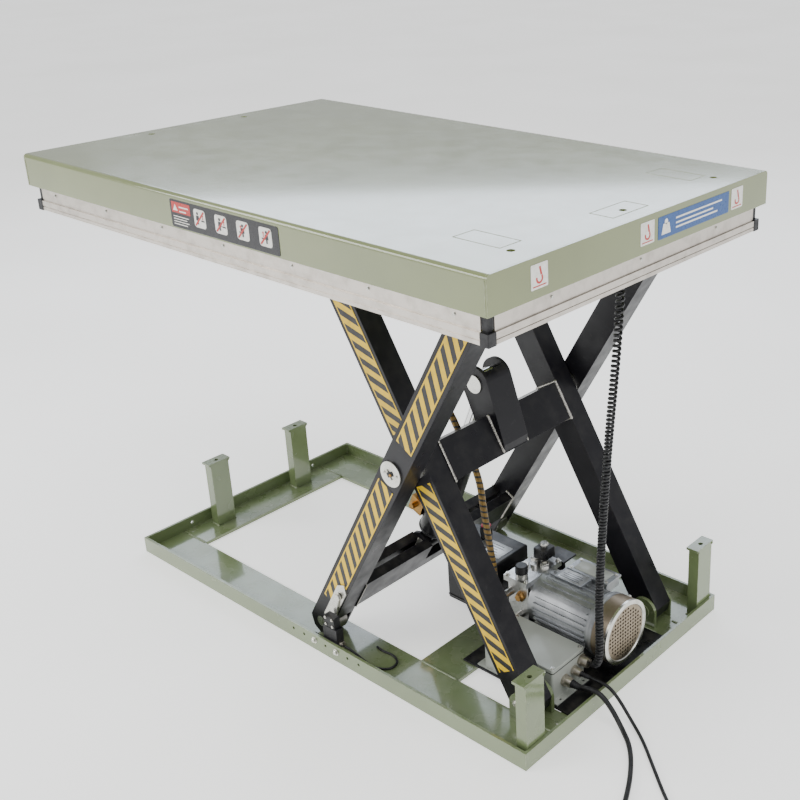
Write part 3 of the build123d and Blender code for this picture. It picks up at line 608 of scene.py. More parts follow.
# ------------------------------------------------------------------ geometry nodes
class Copier:
    """A Geometry Nodes group that sets a small mesh on every point of another."""

    GROUP = "copies_on_points"

    @classmethod
    def group(cls) -> bpy.types.NodeTree:
        """The node group, built once."""
        found = bpy.data.node_groups.get(cls.GROUP)
        if found:
            return found
        tree = bpy.data.node_groups.new(cls.GROUP, "GeometryNodeTree")
        face = tree.interface
        face.new_socket("Points", in_out="INPUT", socket_type="NodeSocketGeometry")
        face.new_socket("Part", in_out="INPUT", socket_type="NodeSocketObject")
        face.new_socket("Scale Spread", in_out="INPUT", socket_type="NodeSocketFloat")
        face.new_socket("Finish", in_out="INPUT", socket_type="NodeSocketMaterial")
        face.new_socket("Geometry", in_out="OUTPUT", socket_type="NodeSocketGeometry")
        nodes, links = tree.nodes, tree.links
        start, end = nodes.new("NodeGroupInput"), nodes.new("NodeGroupOutput")
        part = nodes.new("GeometryNodeObjectInfo")
        turn = nodes.new("GeometryNodeInputNamedAttribute")
        turn.data_type = "FLOAT_VECTOR"
        turn.inputs["Name"].default_value = "turn"
        spread = nodes.new("FunctionNodeRandomValue")
        spread.inputs["Seed"].default_value = 7
        low, high = nodes.new("ShaderNodeMath"), nodes.new("ShaderNodeMath")
        low.operation, high.operation = "SUBTRACT", "ADD"
        low.inputs[0].default_value = high.inputs[0].default_value = 1.0
        put = nodes.new("GeometryNodeInstanceOnPoints")
        real = nodes.new("GeometryNodeRealizeInstances")
        paint = nodes.new("GeometryNodeSetMaterial")
        links.new(start.outputs["Part"], part.inputs["Object"])
        links.new(start.outputs["Points"], put.inputs["Points"])
        links.new(part.outputs["Geometry"], put.inputs["Instance"])
        links.new(turn.outputs[0], put.inputs["Rotation"])
        for node, socket in ((low, 2), (high, 3)):
            links.new(start.outputs["Scale Spread"], node.inputs[1])
            links.new(node.outputs[0], spread.inputs[socket])
        links.new(spread.outputs[1], put.inputs["Scale"])
        links.new(put.outputs[0], real.inputs[0])
        links.new(real.outputs[0], paint.inputs[0])
        links.new(start.outputs["Finish"], paint.inputs["Material"])
        links.new(paint.outputs[0], end.inputs[0])
        return tree

    @classmethod
    def scatter(cls, name: str, part: bmesh.types.BMesh, frames: list[Matrix], finish: Finish,
                spread: float = 0.0) -> bpy.types.Object:
        """Put a part on every frame and return the result as a plain mesh.

        Args:
            name: the piece's name.
            part: the repeated mesh, freed afterwards.
            frames: one local frame for each copy.
            finish: the surface of all copies.
            spread: how much their sizes differ, as a share.

        Returns:
            One object with all copies.
        """
        part_obj = new_object(name + "_part", part, finish)
        mesh = bpy.data.meshes.new(name + "_points")
        mesh.from_pydata([tuple(m.translation) for m in frames], [], [])
        turn = mesh.attributes.new("turn", "FLOAT_VECTOR", "POINT")
        for item, m in zip(turn.data, frames):
            item.vector = tuple(m.to_euler())
        holder = bpy.data.objects.new(name + "_holder", mesh)
        bpy.context.scene.collection.objects.link(holder)
        modifier = holder.modifiers.new("copies", "NODES")
        modifier.node_group = cls.group()
        sockets = {item.name: item.identifier for item in cls.group().interface.items_tree
                   if item.in_out == "INPUT"}
        modifier[sockets["Part"]] = part_obj
        modifier[sockets["Scale Spread"]] = spread
        modifier[sockets["Finish"]] = finish.material()
        bpy.context.view_layer.update()
        made = bpy.data.meshes.new_from_object(holder.evaluated_get(bpy.context.evaluated_depsgraph_get()))
        holder.modifiers.clear()
        for leftover in (holder, part_obj):
            bpy.data.objects.remove(leftover)
        made.name = name
        obj = bpy.data.objects.new(name, made)
        bpy.context.scene.collection.objects.link(obj)
        return obj


def bolt_head(radius: float, height: float, hexagon: bool = True) -> bmesh.types.BMesh:
    """A bolt head on its washer, standing on z=0: a hexagon or a round socket head."""
    bm = lathe_mesh([(0, 0), (radius * 1.45, 0), (radius * 1.45, height * 0.22), (0, height * 0.22)], 28)
    sides = 6 if hexagon else 24
    head = [(0, height * 0.22), (radius, height * 0.22), (radius, height * 0.88), (radius * 0.88, height),
            (radius * 0.45, height), (radius * 0.42, height * 0.8), (0, height * 0.8)]
    if hexagon:
        head = head[:4] + [(0, height)]
    other = lathe_mesh(head, sides)
    mesh = bpy.data.meshes.new("head")
    other.to_mesh(mesh)
    other.free()
    bm.from_mesh(mesh)
    bpy.data.meshes.remove(mesh)
    return bm


def ripple(radius: float, pitch: float) -> bmesh.types.BMesh:
    """One ripple of a weld bead: a low crescent mound."""
    bm = lathe_mesh([(0, radius * 0.62), (radius * 0.45, radius * 0.55), (radius * 0.8, radius * 0.34),
                     (radius, -radius * 0.1), (0, -radius * 0.3)], 14)
    bmesh.ops.scale(bm, vec=(pitch / radius * 1.1, 1, 1), verts=bm.verts)
    return bm


def weld(name: str, runs, radius: float, body: Body, finish: Finish = WELD) -> bpy.types.Object:
    """Weld beads along straight runs.

    Args:
        name: the piece's name.
        runs: (start, end, outward) for each bead, in metres.
        radius: half the bead's width.
        body: what it rides on.
        finish: its surface.

    Returns:
        The beads as one mesh.
    """
    pitch = radius * 0.55
    frames = []
    for start, end, outward in runs:
        start, end = Vector(start), Vector(end)
        count = max(2, round((end - start).length / pitch))
        for i in range(count + 1):
            frames.append(place(start.lerp(end, i / count), end - start, outward))
    obj = Copier.scatter(name, ripple(radius, radius), frames, finish, spread=0.12)
    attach(obj, body.value)
    return obj


# ------------------------------------------------------------------ dressing
def dress(node: str, finish: Finish) -> None:
    """Give a CAD node a finish."""
    obj = frame["nodes"][node]
    obj.data.materials.clear()
    obj.data.materials.append(finish.material())


def rides(body: Body, *objects: bpy.types.Object) -> None:
    """Make pieces move with a body."""
    for obj in objects:
        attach(obj, body.value)


def mid(node: str) -> Vector:
    """The middle of a CAD node's box."""
    low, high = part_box(node)
    return (Vector(low) + Vector(high)) / 2


@dataclass
class ArmFrame:
    """Local directions of one pair of scissor arms: s along the arm, n across it."""

    pivot: str
    centre: Vector = field(init=False)
    s: Vector = field(init=False)
    n: Vector = field(init=False)
    half: float = field(init=False)

    def __post_init__(self):
        self.centre = Vector(JOINTS["scissor_centre"]["pos_m"])
        along = Vector(JOINTS[self.pivot]["pos_m"]) - self.centre
        self.half = along.length
        self.s = along.normalized()
        self.n = self.s.cross(Vector((0, 1, 0)))

    def at(self, s: float, y: float, n: float) -> Vector:
        """A point from millimetres along, sideways and across."""
        return self.centre + self.s * s * MM + Vector((0, y * MM, 0)) + self.n * n * MM


# ------------------------------------------------------------------ studio
@dataclass
class Studio:
    """Camera, floor, lights and sky."""

    eye: tuple[float, float, float] = (1.731, -1.550, 1.501)
    azimuth: float = -51.504
    elevation: float = 22.319
    roll: float = -0.355
    lens: float = 52.219
    shift: tuple[float, float] = (-0.2224, -0.0618)

    def camera(self) -> None:
        """Set the scene's camera."""
        az, el, roll = (math.radians(v) for v in (self.azimuth, self.elevation, self.roll))
        back = Vector((math.cos(el) * math.cos(az), math.cos(el) * math.sin(az), math.sin(el)))
        right = Vector((0, 0, 1)).cross(back).normalized()
        up = back.cross(right)
        right_turned = right * math.cos(roll) + up * math.sin(roll)
        up_turned = up * math.cos(roll) - right * math.sin(roll)
        data = bpy.data.cameras.new("camera")
        data.sensor_width, data.lens = 36.0, self.lens
        data.shift_x, data.shift_y = self.shift
        camera = bpy.data.objects.new("camera", data)
        camera.matrix_world = Matrix.Translation(self.eye) @ Matrix(
            (right_turned, up_turned, back)).transposed().to_4x4()
        bpy.context.scene.collection.objects.link(camera)
        bpy.context.scene.camera = camera

    def floor(self) -> None:
        """A plain pale floor."""
        bm = bmesh.new()
        bmesh.ops.create_grid(bm, x_segments=2, y_segments=2, size=60)
        g = Graph("pale_studio_floor")
        tone = g.mix(g.ramp(g.noise(900, 2), 0.3, 0.7), colour("f4f4f3"), colour("efefed"))
        g.set(Base_Color=tone, Roughness=0.85, Emission_Color=tone, Emission_Strength=0.95)
        floor = new_object("studio_floor", bm, INK_WHITE, smooth=None)
        floor.data.materials[0] = g.material

    def light(self, name: str, at, target, size, power: float, tint: str = "ffffff") -> None:
        """One soft rectangular light that looks at a point."""
        data = bpy.data.lights.new(name, "AREA")
        data.shape = "RECTANGLE"
        data.size, data.size_y = size
        data.energy = power
        data.color = colour(tint)[:3]
        lamp = bpy.data.objects.new(name, data)
        lamp.location = at
        lamp.rotation_euler = (Vector(target) - Vector(at)).to_track_quat("-Z", "Y").to_euler()
        bpy.context.scene.collection.objects.link(lamp)

    def build(self) -> None:
        """Everything in the studio."""
        self.camera()
        self.floor()
        world = bpy.data.worlds.new("pale_sky")
        world.use_nodes = True
        sky = world.node_tree.nodes["Background"]
        sky.inputs["Color"].default_value = colour("f6f8fb")
        sky.inputs["Strength"].default_value = 0.62
        bpy.context.scene.world = world
        self.light("overhead", (0.2, -0.4, 3.6), (0.1, 0, 0.8), (3.2, 2.6), 62)
        self.light("front_left", (-2.4, -3.0, 2.2), (0, 0, 0.5), (2.4, 1.8), 85)
        self.light("camera_right", (3.4, -0.4, 2.0), (0.2, 0, 0.4), (1.8, 1.8), 28)
        self.light("window_behind", (-2.2, 2.5, 2.5), (0.3, -0.1, 0.97), (3.6, 1.2), 52, "e6f0ff")


# ------------------------------------------------------------------ cords
@dataclass
class Cord:
    """One cord: its route, thickness and ends."""

    name: str
    route: list
    diameter: float

    def spline(self) -> bpy.types.Object:
        """The route as a NURBS curve, its points as control points."""
        data = bpy.data.curves.new(self.name, "CURVE")
        data.dimensions = "3D"
        line = data.splines.new("NURBS")
        line.points.add(len(self.route) - 1)
        for point, co in zip(line.points, self.route):
            point.co = (co[0] * MM, co[1] * MM, co[2] * MM, 1)
        line.order_u = 3
        line.use_endpoint_u = True
        line.resolution_u = 8
        obj = bpy.data.objects.new(self.name, data)
        bpy.context.scene.collection.objects.link(obj)
        return obj

    def path(self, step: float) -> list[Vector]:
        """Even points along the spline, which is then removed."""
        curve = self.spline()
        points = resample(spline_points(curve), step)
        bpy.data.objects.remove(curve)
        return points

    def round_curve(self, finish: Finish) -> bpy.types.Object:
        """The spline itself with a round section."""
        obj = self.spline()
        obj.data.bevel_depth = self.diameter / 2
        obj.data.bevel_resolution = 3
        obj.data.use_fill_caps = True
        obj.data.materials.append(finish.material())
        return obj


def winding(centre, turns, start: float, sense: int, lift: float, blend: float = 50.0) -> list:
    """Control points of a wound coil.

    Args:
        centre: (x, y) of the coil in millimetres.
        turns: (radius, height) of each turn in order, in millimetres.
        start: angle of the first point in degrees.
        sense: 1 for anticlockwise seen from above, -1 for clockwise.
        lift: part of the last turn that is wound, from 0 to 1.
        blend: degrees over which one turn passes into the next.

    Returns:
        A list of (x, y, z) in millimetres.
    """
    points = []
    steps = 12
    for k, (radius, height) in enumerate(turns):
        last = k == len(turns) - 1
        count = round(steps * lift) if last else steps
        for i in range(count):
            degrees = 360 * i / steps
            share = 0.0 if last else max(0.0, (degrees - (360 - blend)) / blend)
            following = turns[min(k + 1, len(turns) - 1)]
            r = radius + (following[0] - radius) * share
            z = height + (following[1] - height) * share
            angle = math.radians(start + sense * degrees)
            points.append((centre[0] + r * math.cos(angle), centre[1] + r * math.sin(angle), z))
    return points


class Cords:
    """Mains lead, pendant lead, curly control cord, switch lead and pressure hose."""

    def relief(self, name: str, at: Vector, direction, cord_radius: float, length: float,
               finish: Finish = BLACK_PLASTIC) -> bpy.types.Object:
        """A tapered, ringed strain relief that starts at a point."""
        profile = [(0, 0), (cord_radius * 1.7, 0)]
        for i in range(5):
            base = length * (i + 0.25) / 5
            wide = cord_radius * (1.65 - 0.1 * i)
            profile += [(wide, base), (wide * 0.88, base + length * 0.04),
                        (wide * 0.88, base + length * 0.1),
                        (wide * 0.97, base + length * 0.14)]
        profile += [(cord_radius * 1.08, length), (0, length)]
        return lathe(name, profile, finish, place(at, Vector(direction).orthogonal(), direction), 24)

    def mains(self) -> None:
        """Mains lead from the control box over the end rail to its coil and plug."""
        x1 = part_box("junction_box_lid")[1][0] / MM
        low, high = (Vector(v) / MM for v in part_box("mains_cable_coil"))
        cx, cy = (low.x + high.x) / 2, (low.y + high.y) / 2
        lie = 5.3
        route = [(x1 + 20, -117, 44), (x1 + 38, -117, 44), (x1 + 62, -115, 51), (x1 + 88, -113, 49),
                 (x1 + 116, -116, 30), (x1 + 146, -126, 9), (x1 + 188, -155, lie), (x1 + 228, -208, lie),
                 (x1 + 262, -272, lie), (x1 + 290, -340, lie), (cx - 60, cy + 32, lie)]
        rows = [lie + 10.0 * k for k in range(4)]
        turns = [(60, rows[0]), (50, rows[0]), (50, rows[1]), (60, rows[1]), (60, rows[2]), (50, rows[2]),
                 (50, rows[3]), (60, rows[3])]
        route += winding((cx, cy), turns, 180, 1, 0.5)
        arc = [(cx + 22.5 + 37.5 * math.cos(math.radians(a)), cy + 37.5 * math.sin(math.radians(a)),
                rows[3] + (60 - rows[3]) * a / 180) for a in (0, 30, 60, 90, 120, 150)]
        route += arc + [(cx - 15, cy, 60), (cx - 15, cy - 8, 60)]
        cord = Cord("mains_lead", route, 0.010)
        lead = cord.round_curve(CABLE)
        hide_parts("mains_cable", "mains_cable_coil")
        rides(Body.BASE, lead)
        relief = self.relief("mains_relief", Vector(route[0]) * MM, (1, 0, 0), 0.0048, 0.022)
        rides(Body.BASE, relief)
        tie = self.tie("mains_coil_tie", Vector((cx * MM, (cy + 55) * MM, 0.0203)), 0.012, 0.0196)
        rides(Body.BASE, tie)

    def tie(self, name: str, at: Vector, half_width: float, half_height: float) -> bpy.types.Object:
        """A hook-and-loop tie round a bundle whose turns run along X there."""
        points = []
        for i in range(33):
            angle = 2 * math.pi * i / 32
            c, s = math.cos(angle), math.sin(angle)
            points.append(at + Vector((0, math.copysign(abs(c) ** 0.6, c) * half_width,
                                       math.copysign(abs(s) ** 0.6, s) * (half_height - 0.0008))))
        bm = bmesh.new()
        rings = [[bm.verts.new(p + Vector((dx, 0, 0)) + (p - at) * grow)
                  for dx, grow in ((-0.006, 0), (0.006, 0), (0.006, 0.06),
                                   (-0.006, 0.06))] for p in points[:-1]]
        for low, high in zip(rings, rings[1:] + rings[:1]):
            for i in range(4):
                bm.faces.new((low[i], low[(i + 1) % 4], high[(i + 1) % 4], high[i]))
        return new_object(name, bm, BLACK_PLASTIC)

    def pendant(self) -> None:
        """Pendant lead from the control box to its coil and hand control."""
        x1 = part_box("junction_box_lid")[1][0] / MM
        low, high = (Vector(v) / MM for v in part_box("pendant_cable_coil"))
        cx, cy = (low.x + high.x) / 2, (low.y + high.y) / 2
        lie = 3.8
        route = [(x1 + 20, -88, 50), (x1 + 38, -88, 50), (x1 + 62, -86, 50), (x1 + 86, -84, 47),
                 (x1 + 112, -86, 30), (x1 + 146, -96, 8), (x1 + 194, -124, lie), (x1 + 252, -172, lie),
                 (x1 + 313, -222, lie), (x1 + 374, -262, lie), (x1 + 434, -290, lie), (cx - 26, cy + 45.5,
                                                                                       lie)]
        rows = [lie + 7.0 * k for k in range(4)]
        turns = [(45.5, rows[0]), (38.5, rows[0]), (31.5, rows[0]), (31.5, rows[1]), (38.5, rows[1]),
                 (45.5, rows[1]), (45.5, rows[3]), (38.5, rows[3]), (31.5, rows[3]), (31.5, rows[2]),
                 (38.5, rows[2])]
        route += winding((cx, cy), turns, 90, -1, 0.25)
        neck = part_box("pendant_case")[1][1] / MM
        route += [(cx + 38.5, cy, rows[2]), (cx + 38.5, (cy + neck) / 2, rows[2]),
                  (cx + 38.5, neck, rows[2] + 0.7)]
        cord = Cord("pendant_lead", route, 0.007)
        lead = cord.round_curve(CABLE)
        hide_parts("pendant_cable", "pendant_cable_coil")
        rides(Body.BASE, lead)
        relief = self.relief("pendant_relief", Vector(route[0]) * MM, (1, 0, 0), 0.0034, 0.021)
        rides(Body.BASE, relief)

    def curly(self) -> None:
        """Coiled control cord from the box up to the deck: open turns above, tight ones below."""
        x1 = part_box("junction_box_lid")[1][0] / MM
        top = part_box("curly_cord")[1][2] / MM
        route = [(x1 + 20, -64, 60), (x1 + 30, -64, 60), (x1 + 42, -64, 70), (x1 + 46, -63, 95),
                 (x1 + 43, -60, 135), (x1 + 38, -55, 215), (x1 + 37, -46, 340), (x1 + 41, -32, 540),
                 (x1 + 50, -14, 760), (604, -12, top - 60), (604, -12, top)]
        line = Cord("curly_line", route, 0.018).path(0.0008)
        frames = carried_frames(line)
        points = []
        angle = 0.0
        count = len(line)
        for i, (point, (u, v)) in enumerate(zip(line, frames)):
            share = i / (count - 1)
            reach = min(1.0, share / 0.02, (1 - share) / 0.02)
            pitch = 0.0066 + 0.0062 * max(0.0, (share - 0.35) / 0.65) ** 1.5
            angle += 2 * math.pi * 0.0008 / pitch
            points.append(point + (u * math.cos(angle) + v * math.sin(angle)) * 0.006 * reach)
        points = resample(points, 0.0030)
        cord = tube("curly_control_cord", points, 0.003, CURLY, 8)
        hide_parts("curly_cord")
        rides(Body.BASE, cord)
        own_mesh(cord)

    def switch(self) -> None:
        """Limit switch lead, looped on the rail's plate."""
        wall = -311.5
        route = [(114, wall + 13, 30), (134, wall + 13, 30), (158, wall + 15, 22), (182, wall + 18, 12.5),
                 (208, wall + 22, 10.8), (228, wall + 38, 10.8), (222, wall + 62, 10.8),
                 (196, wall + 72, 10.8), (168, wall + 66, 10.8), (150, wall + 70, 10.8)]
        lead = Cord("limit_switch_lead", route, 0.005).round_curve(CABLE)
        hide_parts("limit_switch_cable")
        rides(Body.BASE, lead)

    def hose(self) -> None:
        """Pressure hose from the valve block to the clip, and on to the cylinder."""
        inner = ArmFrame("lift")
        start = (336, -74, 134)
        clip = [tuple(inner.at(s, -62, -39.5) / MM) for s in (90, 46, 30, -14)]
        low_route = [start, (336, -74, 176), (328, -77, 245), (311, -73, 318), clip[0], clip[1]]
        foot = Vector(JOINTS["cylinder_foot"]["pos_m"])
        u = Vector(JOINTS["rod_stroke"]["axis"]).normalized()
        w = u.cross(Vector((0, 1, 0)))
        union = [tuple((foot + u * x * MM + w * 0.051) / MM + Vector((0, -12, 0))) for x in (170, 122)]
        high_route = [clip[2], clip[3], (217, -60, 504), (187, -55, 521), (154, -46, 518), (127, -36, 490),
                      (112, -26, 438), (104, -18, 374), union[0], union[1]]
        for name, route, ends, node, length in (
                ("pressure_hose_low", low_route, (Body.BASE, Body.INNER), "hydraulic_hose_lower",
                 HOSE_LOW_LENGTH),
                ("pressure_hose_high", high_route, (Body.INNER, Body.OUTER), "hydraulic_hose_upper",
                 HOSE_HIGH_LENGTH)):
            path = Cord(name, route, 0.014).path(0.004)
            piece = tube(name, path, 0.007, HOSE, 20)
            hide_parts(node)
            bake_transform(piece)
            for end, point, ahead, body in ((0, path[0], path[4], ends[0]),
                                            (1, path[-1], path[-5], ends[1])):
                if (name, end) in (("pressure_hose_low", 1), ("pressure_hose_high", 0)):
                    continue
                profile = [(0, 0), (0.0084, 0), (0.0088, 0.002), (0.0088, 0.012), (0.0081, 0.013),
                           (0.0081, 0.018),
                           (0.0086, 0.019), (0.0086, 0.026), (0.0078, 0.028), (0, 0.028)]
                ferrule = lathe(f"{name}_ferrule", profile, BRASS, place(point, (0, 1, 0.01), ahead - point),
                                28)
                rides(Body.BARREL if body is Body.OUTER else body, ferrule)

    def build(self) -> None:
        """All cords, before anything else."""
        self.mains()
        self.pendant()
        self.curly()
        self.switch()
        self.hose()


# ------------------------------------------------------------------ base frame
class BaseFrame:
    """Rails, posts, pivots and the limit switch."""

    NODES = ("base_rail_front", "base_rail_rear", "base_rail_left", "base_rail_right", "base_cross_plate",
             "support_posts", "base_pivot_brackets")

    def post_welds(self) -> None:
        """Painted beads round the feet of the posts and in the frame's corners."""
        runs = []
        wall = 0.3115
        for x, y in ((0.606, -(wall - 0.031)), (0.606, wall - 0.031), (-0.541, -0.121), (-0.541, 0.121)):
            for sy in (-1, 1):
                runs.append(((x - 0.0125, y + sy * 0.0255, 0.0085), (x + 0.0125, y + sy * 0.0255, 0.0085),
                             (0, sy, 1)))
            runs.append(((x - 0.013, y - 0.025, 0.0085), (x - 0.013, y + 0.025, 0.0085), (-1, 0, 1)))
            for sy in (-1, 1):
                runs.append(((x - 0.012, y + sy * 0.0255, 0.1728), (x + 0.012, y + sy * 0.0255, 0.1728),
                             (0, sy, -1)))
        for x in (-0.5735, 0.6185):
            for sy in (-1, 1):
                runs.append(((x, sy * 0.3108, 0.010), (x, sy * 0.3108, 0.036), (-x, -sy * 0.4, 0)))
        weld("frame_welds", runs, 0.0030, Body.BASE, BASE_GREEN)

    def plate_seams(self) -> None:
        """Ground seams where the cross plates meet the side plates."""
        runs = []
        for x0, x1 in ((0.256, 0.352), (-0.57, -0.492), (0.585, 0.615)):
            for sy in (-1, 1):
                runs.append(((x0, sy * 0.2145, 0.0083), (x1, sy * 0.2145, 0.0083), (0, 0, 1)))
        weld("plate_seams", runs, 0.0032, Body.BASE, BASE_GREEN)

    def bolts(self) -> None:
        """Zinc bolts that hold the switch bracket, and pivot pin keepers."""
        frames = [place((x, -0.3175, 0.024), (1, 0, 0), (0, -1, 0)) for x in (0.043, 0.111)]
        rides(Body.BASE, Copier.scatter("rail_bolts", bolt_head(0.0052, 0.0052), frames, ZINC))
        pins = []
        x, _, z = JOINTS["lift"]["pos_m"]
        for sy in (-1, 1):
            pins.append(place((x - 0.013, sy * 0.2305, z + 0.004), (1, 0, 0), (0, sy, 0)))
            pins.append(place((x + 0.013, sy * 0.2305, z + 0.004), (1, 0, 0), (0, sy, 0)))
        rides(Body.BASE, Copier.scatter("pivot_keeper_bolts", bolt_head(0.0048, 0.005), pins, ZINC))

    def limit_switch(self) -> None:
        """Cover screws, head screws and gland nut of the limit switch."""
        low, high = (Vector(v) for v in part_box("limit_switch_body"))
        face = high.y
        frames = [place((x, face, z), (1, 0, 0), (0, 1, 0)) for x in (0.068, 0.098) for z in (0.020, 0.060)]
        rides(Body.BASE, Copier.scatter("switch_cover_screws", bolt_head(0.0024, 0.0018, False), frames,
                                        ZINC))
        front = [place((x, low.y + 0.004, z), (1, 0, 0), (0, -1, 0)) for x in (0.073, 0.093) for z in (0.072,
                                                                                                       0.088)]
        rides(Body.BASE, Copier.scatter("switch_head_screws", bolt_head(0.0022, 0.0018, False), front,
                                        ZINC))
        nut = lathe("switch_gland_nut",
                    [(0, 0), (0.0085, 0), (0.0085, 0.006), (0.0066, 0.007), (0.0066, 0.0105),
                                         (0, 0.0105)], GLAND, place((0.104, -0.2985, 0.030), (0, 1, 0),
                                                                    (1, 0, 0)), 6)
        rides(Body.BASE, nut)

    def build(self) -> None:
        """Pieces and finishes."""
        for node in self.NODES:
            dress(node, BASE_GREEN)
        dress("fasteners", ZINC)
        dress("limit_switch_body", BLACK_PLASTIC)
        dress("limit_switch_lever", ZINC)
        self.post_welds()
        self.plate_seams()
        self.bolts()
        self.limit_switch()
        for word in ("front", "rear"):
            dress(f"base_roller_{word}", ROLLER_STEEL)
            dress(f"deck_roller_{word}", ROLLER_STEEL)


# ------------------------------------------------------------------ scissor arms
class ScissorArms:
    """Both pairs of arms with their tape, welds, pins and the cylinder."""

    INNER = ("inner_arm_front", "inner_arm_rear", "inner_cross_tube", "cylinder_lug")
    OUTER = ("outer_arm_front", "outer_arm_rear", "outer_cross_beam")
    FACES = ((Body.INNER, "lift", 226.0, ((-500, -62), (46, 434))),
             (Body.OUTER, "deck_pivot", 281.0, ((-430, -37), (74, 505))))

    def tapes(self) -> None:
        """Striped tape on the outward faces: two lengths an arm."""
        for body, pivot, face, spans in self.FACES:
            arm = ArmFrame(pivot)
            for side, word in ((-1, "front"), (1, "rear")):
                for part, (start, end) in enumerate(spans):
                    low, width = -21.5, 43.0
                    bm = bmesh.new()
                    uv = bm.loops.layers.uv.new("metres")
                    steps = 24
                    rows = []
                    for i in range(steps + 1):
                        s = start + (end - start) * i / steps
                        rows.append([(bm.verts.new(arm.at(s, side * (face + TAPE_LIFT),
                                                          low + width * across)),
                                      (s - start) * MM, width * across * MM)
                                     for across in (0, 0.5, 1)])
                    for one, two in zip(rows, rows[1:]):
                        for a, b, c, d in zip(one, one[1:], two[1:], two):
                            made = bm.faces.new((a[0], b[0], c[0], d[0]))
                            for loop, corner in zip(made.loops, (a, b, c, d)):
                                loop[uv].uv = (corner[1], corner[2])
                    bm.normal_update()
                    bmesh.ops.solidify(bm, geom=bm.faces[:], thickness=0.0002)
                    obj = new_object(f"hazard_tape_{word}_{body.value}_{part}", bm, TAPE, smooth=None)
                    rides(body, obj)

    def welds(self) -> None:
        """Bright beads on the cross tube, the lug and the lower beam."""
        inner = ArmFrame("lift")
        outer = ArmFrame("deck_pivot")
        runs = []
        for side in (-1, 1):
            y = side * 174.5
            for s0, s1, n in ((-18, 65, 30.5), (-18, 65, -30.5)):
                runs.append((inner.at(s0, y, n), inner.at(s1, y, n),
                             inner.n * n + Vector((0, -side * 20, 0))))
            runs.append((inner.at(-18.5, y, -29), inner.at(-18.5, y, 29), -inner.s + Vector((0, -side, 0))))
            runs.append((inner.at(65.5, y, -29), inner.at(65.5, y, 29), inner.s + Vector((0, -side, 0))))
            for s0, s1 in ((-16, 60),):
                runs.append((inner.at(s0, side * 36, 30.5), inner.at(s1, side * 36, 30.5),
                             inner.n + Vector((0, side, 0))))
        weld("cross_tube_welds", runs, 0.0034, Body.INNER)
        low = []
        for side in (-1, 1):
            y = side * 229.5
            low.append((outer.at(-450, y, -30.5), outer.at(-376, y, -30.5),
                        -outer.n + Vector((0, -side, 0))))
            low.append((outer.at(-450, y, 30.5), outer.at(-396, y, 30.5), outer.n + Vector((0, -side, 0))))
            low.append((outer.at(-372.5, y, -29), outer.at(-372.5, y, -9), outer.s + Vector((0, -side, 0))))
            low.append((outer.at(-423, side * 37, 8.5), outer.at(-394, side * 37, 8.5),
                        outer.n + Vector((0, side, 0))))
        weld("lower_beam_welds", low, 0.0034, Body.OUTER)

    def pins(self) -> None:
        """Grease nipples in the centre pins and keeper screws on their discs."""
        centre = Vector(JOINTS["scissor_centre"]["pos_m"])
        nipples, screws = [], []
        for side in (-1, 1):
            face = side * 0.2830
            nipples.append(place(centre + Vector((0.001, face, -0.001)), (1, 0, 0), (0, side, 0)))
            slot = plate(f"keeper_slot_{side + 1}", (0.018, 0.010, 0.0006), 0.001, TANK_BLACK,
                         place(centre + Vector((0, side * 0.2849, 0)), (1, 0, 0.5), (0, side, 0)), 0.0002)
            rides(Body.INNER, slot)
            for dx in (-0.016, 0.016):
                screws.append(place(centre + Vector((dx, side * 0.285, 0)), (1, 0, 0), (0, side, 0)))
        part = lathe_mesh([(0, 0), (0.0042, 0), (0.0042, 0.0012), (0.0024, 0.0016), (0.0024, 0.0024),
                           (0.003, 0.0034),
                           (0.0022, 0.0046), (0, 0.0048)], 12)
        rides(Body.INNER, Copier.scatter("grease_nipples", part, nipples, BRASS))
        rides(Body.INNER, Copier.scatter("disc_screws", bolt_head(0.0026, 0.0016, False), screws, ZINC))

    def cylinder(self) -> None:
        """Gland ring, wiper and weld lines of the cylinder."""
        foot = Vector(JOINTS["cylinder_foot"]["pos_m"])
        u = Vector(JOINTS["rod_stroke"]["axis"]).normalized()
        wiper = lathe("cylinder_wiper",
                      [(0.0145, 0), (0.022, 0), (0.023, 0.0010), (0.021, 0.003), (0.0150, 0.0035),
                                         (0.0145, 0.002), (0.0145, 0)], BLACK_PLASTIC,
                      place(foot + u * 0.289, (0, 1, 0), u), 48)
        ring = [(0.0352, -0.003), (0.0362, -0.002), (0.0372, 0), (0.0362, 0.002), (0.0352, 0.003),
                (0.0352, -0.003)]
        seams = [lathe(f"cylinder_seam_{i}", ring, TANK_BLACK, place(foot + u * x, (0, 1, 0), u), 48)
                 for i, x in enumerate((0.034, 0.272))]
        rides(Body.BARREL, wiper, *seams)

    def build(self) -> None:
        """Pieces and finishes."""
        for node in self.INNER + self.OUTER:
            dress(node, ARM_BLACK)
        for node in ("inner_arm_pins", "outer_arm_pins", "switch_cam"):
            dress(node, ZINC)
        dress("cylinder_barrel", TANK_BLACK)
        dress("burst_valve", BRASS)
        dress("cylinder_rod", CHROME)
        self.tapes()
        self.welds()
        self.pins()
        self.cylinder()


